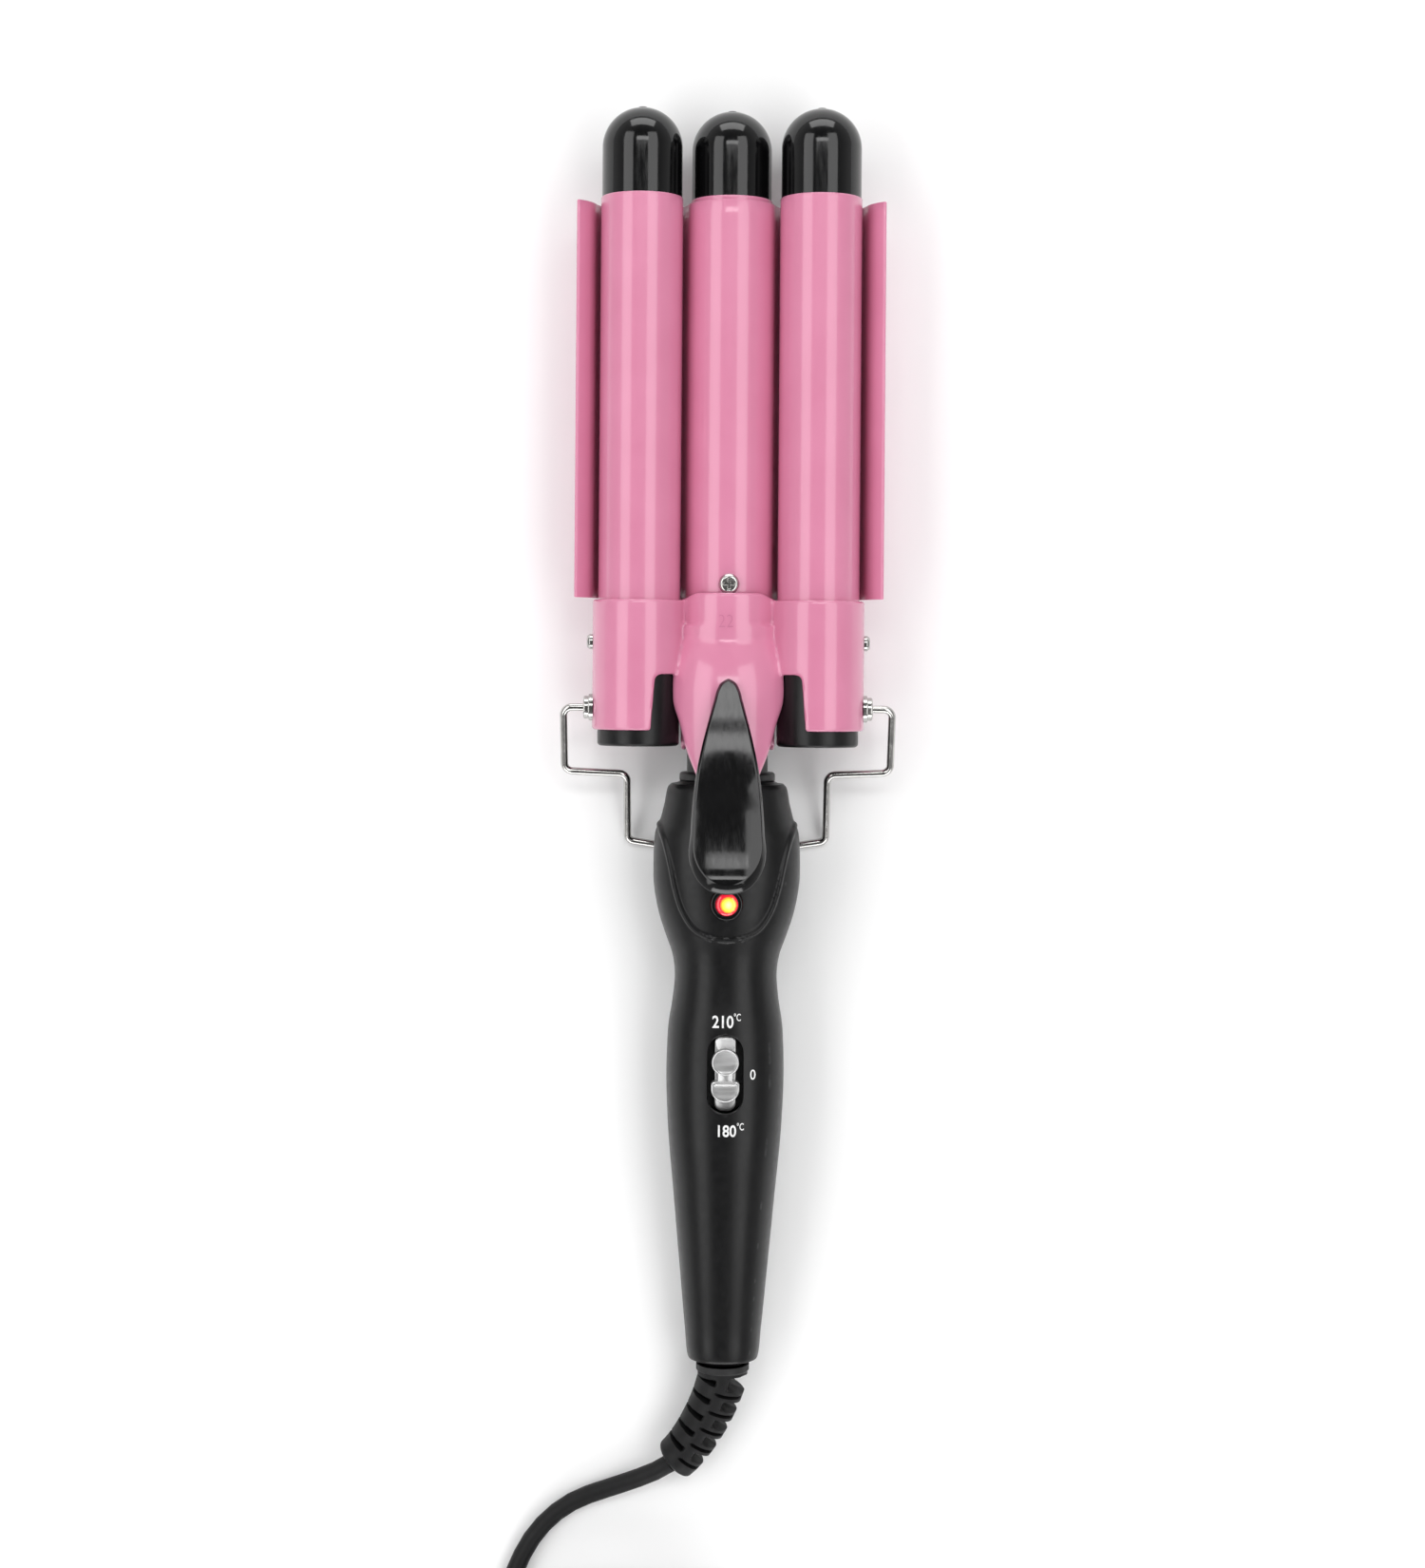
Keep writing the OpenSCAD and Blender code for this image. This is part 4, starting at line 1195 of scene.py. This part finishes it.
def strain_relief():
    """Boot with slots cut across it, first at both sides and then at front and back."""
    route = smooth_route(boot_route, 0.16)
    count, sides = len(route), 96
    along = distance_along(route)
    length = along[-1]
    s = along[:, None]
    turn = circle(sides)
    # Half a turn is the outer side of the bend and angle zero is the inner side.
    base = 6.8 - 0.9 * s / length - 3.78 * np.clip((s - length + 2.4) / 2.4, 0, 1) ** 2.6
    outer_side = (1 - np.cos(turn)) / 2
    front_back = np.abs(np.sin(turn))
    side_open = np.clip((0.97 - front_back) / 0.04, 0, 1)
    front_open = np.clip((front_back - 0.4) / 0.1, 0, 1) * np.clip((outer_side - 0.4) / 0.1, 0, 1)
    half = 0.3 + 0.35 * front_back + 0.8 * outer_side ** 1.5
    cut = np.zeros((count, sides))
    first, spacing, slot_edge = 2.1, 5.3, 0.24
    for k in range(5):
        away = np.abs(s - first - spacing * k)
        cut = np.maximum(cut, side_open * np.clip((half + 0.12 - away) / slot_edge, 0, 1))
        away = np.abs(s - first - spacing * (k + 0.5))
        cut = np.maximum(cut, 0.5 * front_open * np.clip((0.42 - away) / slot_edge, 0, 1))
    radii = base - (2.6 + 1.3 * outer_side) * cut * np.clip((length - 2.6 - s) / 0.5, 0, 1)
    obj = tube("strain_relief", route, radii, sides=sides, crease=45)
    obj.data.materials.append(rubber)
    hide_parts("cord_boot")
    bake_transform(obj)
    return obj


def swivel_head():
    """The round head between the handle and the strain relief."""
    span = Span("swivel_core")
    front = stations[0][0] - 0.1
    z = span.mid[2]
    profile = rounded([(5.0, front + 1.5), (5.0, front - 0.1), (7.1, front - 0.1, 0.4),
                       (7.1, span.low[1], 0.7), (0, span.low[1])], 6, closed=False)
    obj = turned("swivel_head", profile, 0, z, sides=96)
    return dress(obj, "swivel", "matte_black", matte)


def mains_plug():
    """Flat two-pin plug: a waisted grip that widens to the pin face, with sleeved pins."""
    span = Span("plug")
    pins = Span("plug_pins")
    x, z = span.mid[0], span.mid[2]
    y_in, y_face = span.high[1], span.low[1]
    length = y_in - y_face
    share = np.array([0, 0.03, 0.1, 0.2, 0.3, 0.42, 0.55, 0.68, 0.8, 0.9, 0.97, 0.99, 1.0])
    half_w = np.array([3.4, 3.9, 4.3, 5.2, 7.6, 11.4, 14.2, 15.9, 16.7, 17.0, 17.0, 16.8, 16.2])
    half_t = np.array([3.4, 3.9, 4.2, 4.6, 5.0, 5.2, 5.3, 5.4, 5.45, 5.5, 5.5, 5.3, 4.7])
    at = np.concatenate([np.linspace(0, 0.95, 60), [0.965, 0.975, 0.985, 0.993, 1.0]])
    w, t = smooth(at, share, half_w), smooth(at, share, half_t)
    around = 96
    turn = circle(around)
    power = 2 / smooth(at, [0, 0.2, 0.5, 1], [2, 2.2, 3, 3.6])[:, None]
    px = w[:, None] * signed_power(np.cos(turn), power)
    pz = t[:, None] * signed_power(np.sin(turn), power)
    groove = np.clip(np.sin(at * length * 2.2), 0, 1) ** 2 * ((at > 0.3) & (at < 0.7))
    flat = np.clip(np.abs(np.sin(turn)) - 0.5, 0, 0.5) * 2
    pz *= 1 - 0.08 * groove[:, None] * flat
    points = np.stack([x + px, np.repeat((y_in - at * length)[:, None], around, 1), z + pz], -1)
    faces = quads(len(at), around) + caps(len(at), around)
    body = mesh_object("mains_plug_body", points.reshape(-1, 3), faces, 40)
    dress(body, "root", "gloss_black", satin, "plug")
    pieces = [body]
    pin_r = 2.0
    sleeve_end = y_face - 9.5
    for word, side in both_sides:
        centre = pins.mid[0] + side * (pins.half[0] - pin_r)
        sleeve = rounded([(0, y_face + 0.5), (pin_r - 0.1, y_face + 0.5),
                          (pin_r - 0.1, sleeve_end, 0.2), (0, sleeve_end)], 4, closed=False)
        pieces.append(dress(turned(f"plug_pin_{word}_sleeve", sleeve, centre, z, sides=40),
                            "root", "gloss_black", satin))
        metal = rounded([(0, sleeve_end + 0.2), (pin_r, sleeve_end + 0.2, 0.2),
                         (pin_r, pins.low[1], 1.4), (0, pins.low[1])], 8, closed=False)
        pieces.append(dress(turned(f"plug_pin_{word}", metal, centre, z, sides=40), "root",
                            "steel", steel))
    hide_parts("plug_pins")
    return pieces


# ---- hidden pieces, floor and light ----

def finish_cad(material, *nodes):
    """Gives CAD nodes that stay in view a finish of their own."""
    for name in nodes:
        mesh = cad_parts[name].data
        mesh.materials.clear()
        mesh.materials.append(material)


def add_floor():
    size, level = 3.0, -0.0002
    corners = [(x * size, y * size, level) for x, y in ((-1, -1), (1, -1), (1, 1), (-1, 1))]
    mesh = bpy.data.meshes.new("floor")
    mesh.from_pydata(corners, [], [[0, 1, 2, 3]])
    mesh.materials.append(pale_floor())
    placed("floor", mesh)


def add_light(name, place, size, power):
    """Soft rectangular light that faces the middle; its first size is level."""
    data = bpy.data.lights.new(name, "AREA")
    data.shape = "RECTANGLE"
    data.size, data.size_y = size
    data.energy = power
    light = placed(name, data)
    light.location = place
    light.rotation_euler = (-Vector(place)).to_track_quat("-Z", "Y").to_euler()


def surround():
    """Pale all round at eye level and dim overhead, like a white sweep under a dark ceiling."""
    world = bpy.data.worlds.new("surround")
    world.use_nodes = True
    tree = world.node_tree
    place = tree.nodes.new("ShaderNodeTexCoord")
    split = tree.nodes.new("ShaderNodeSeparateXYZ")
    level = tree.nodes.new("ShaderNodeMapRange")
    tree.links.new(place.outputs["Generated"], split.inputs[0])
    tree.links.new(split.outputs["Z"], level.inputs["Value"])
    level.inputs["From Max"].default_value = 0.8
    level.inputs["To Min"].default_value = 0.6
    level.inputs["To Max"].default_value = 0.12
    background = tree.nodes["Background"]
    background.inputs["Color"].default_value = (1, 1, 1, 1)
    tree.links.new(level.outputs[0], background.inputs["Strength"])
    bpy.context.scene.world = world
    bpy.context.scene.view_settings.view_transform = "Standard"


def add_lights():
    """Two broad strips overhead, a small box for the lever and low boxes beyond each end."""
    add_light("strip_left", (-1.05, 0.0, 1.25), (2.6, 0.8), 15.5)
    add_light("strip_right", (0.8, 0.0, 1.38), (2.6, 0.8), 15.5)
    add_light("box_top", (0, 0.64, 1.5), (0.9, 0.28), 4)
    add_light("box_far", (0, 1.7, 0.55), (1.6, 0.7), 12)
    add_light("box_near", (0, -1.7, 0.62), (1.8, 0.6), 14)
    surround()


# ---- assembly ----

add_camera()
add_floor()
add_lights()
dark_plastic = plain_plastic("dark_plastic", "0C0C0D", "151516", 0.6)

for make, kind in ((barrel, "_barrel"), (barrel_tip, "_tip")):
    make("middle" + kind, 0, axis_z, "root")
    for word, side in both_sides:
        make(word + kind, side * pitch, jaw_z, "clamp")
wave_plate()
plate_screw = Span("plate_screw")
head = 1.45
cross_screw("plate_screw_head", (0, plate_screw.mid[1], plate_screw.high[2] - head), (0, 0, 1),
            2.75, head, "root", "steel", "plate_screw")
clamp_casting()
thumb_lever()
for word, side in both_sides:
    end_plug(word + "_end_plug", side * pitch)
side_screws = Span("barrel_screws")
for word, side in both_sides:
    place = (side * (side_screws.high[0] - 1.6), side_screws.mid[1], jaw_z)
    cross_screw("barrel_screw_" + word, place, (side, 0, 0), 2.05, 1.6, "clamp", "steel",
                *(["barrel_screws"] if side > 0 else []))
    stand_boss(word, side)
stand_wire()
neck_pieces()
handle_pieces()
lamp()
switch()
labels()
size_mark()
swivel_head()
strain_relief()
plug_pieces = mains_plug()
cord, cord_length = mains_cord()

finish_cad(steel, "pivot_pin", "clamp_spring", "handle_screws", "lever_screw")
finish_cad(aluminium, "middle_heater", "left_heater", "right_heater")
finish_cad(plain_plastic("board_green", "0E3B22", "15502F", 0.45), "circuit_board")
finish_cad(dark_plastic, "switch_body", "neck_bulkhead", "cord_bulkhead", "screw_posts",
           "swivel_core")
finish_cad(plain_plastic("lead_red", "7E1416", "A11C1E", 0.45), "inner_leads")
finish_cad(plain_plastic("contact_brass", "B8913C", "CFA84E", 0.3, 1.0), "contact_brushes",
           "contact_rings")
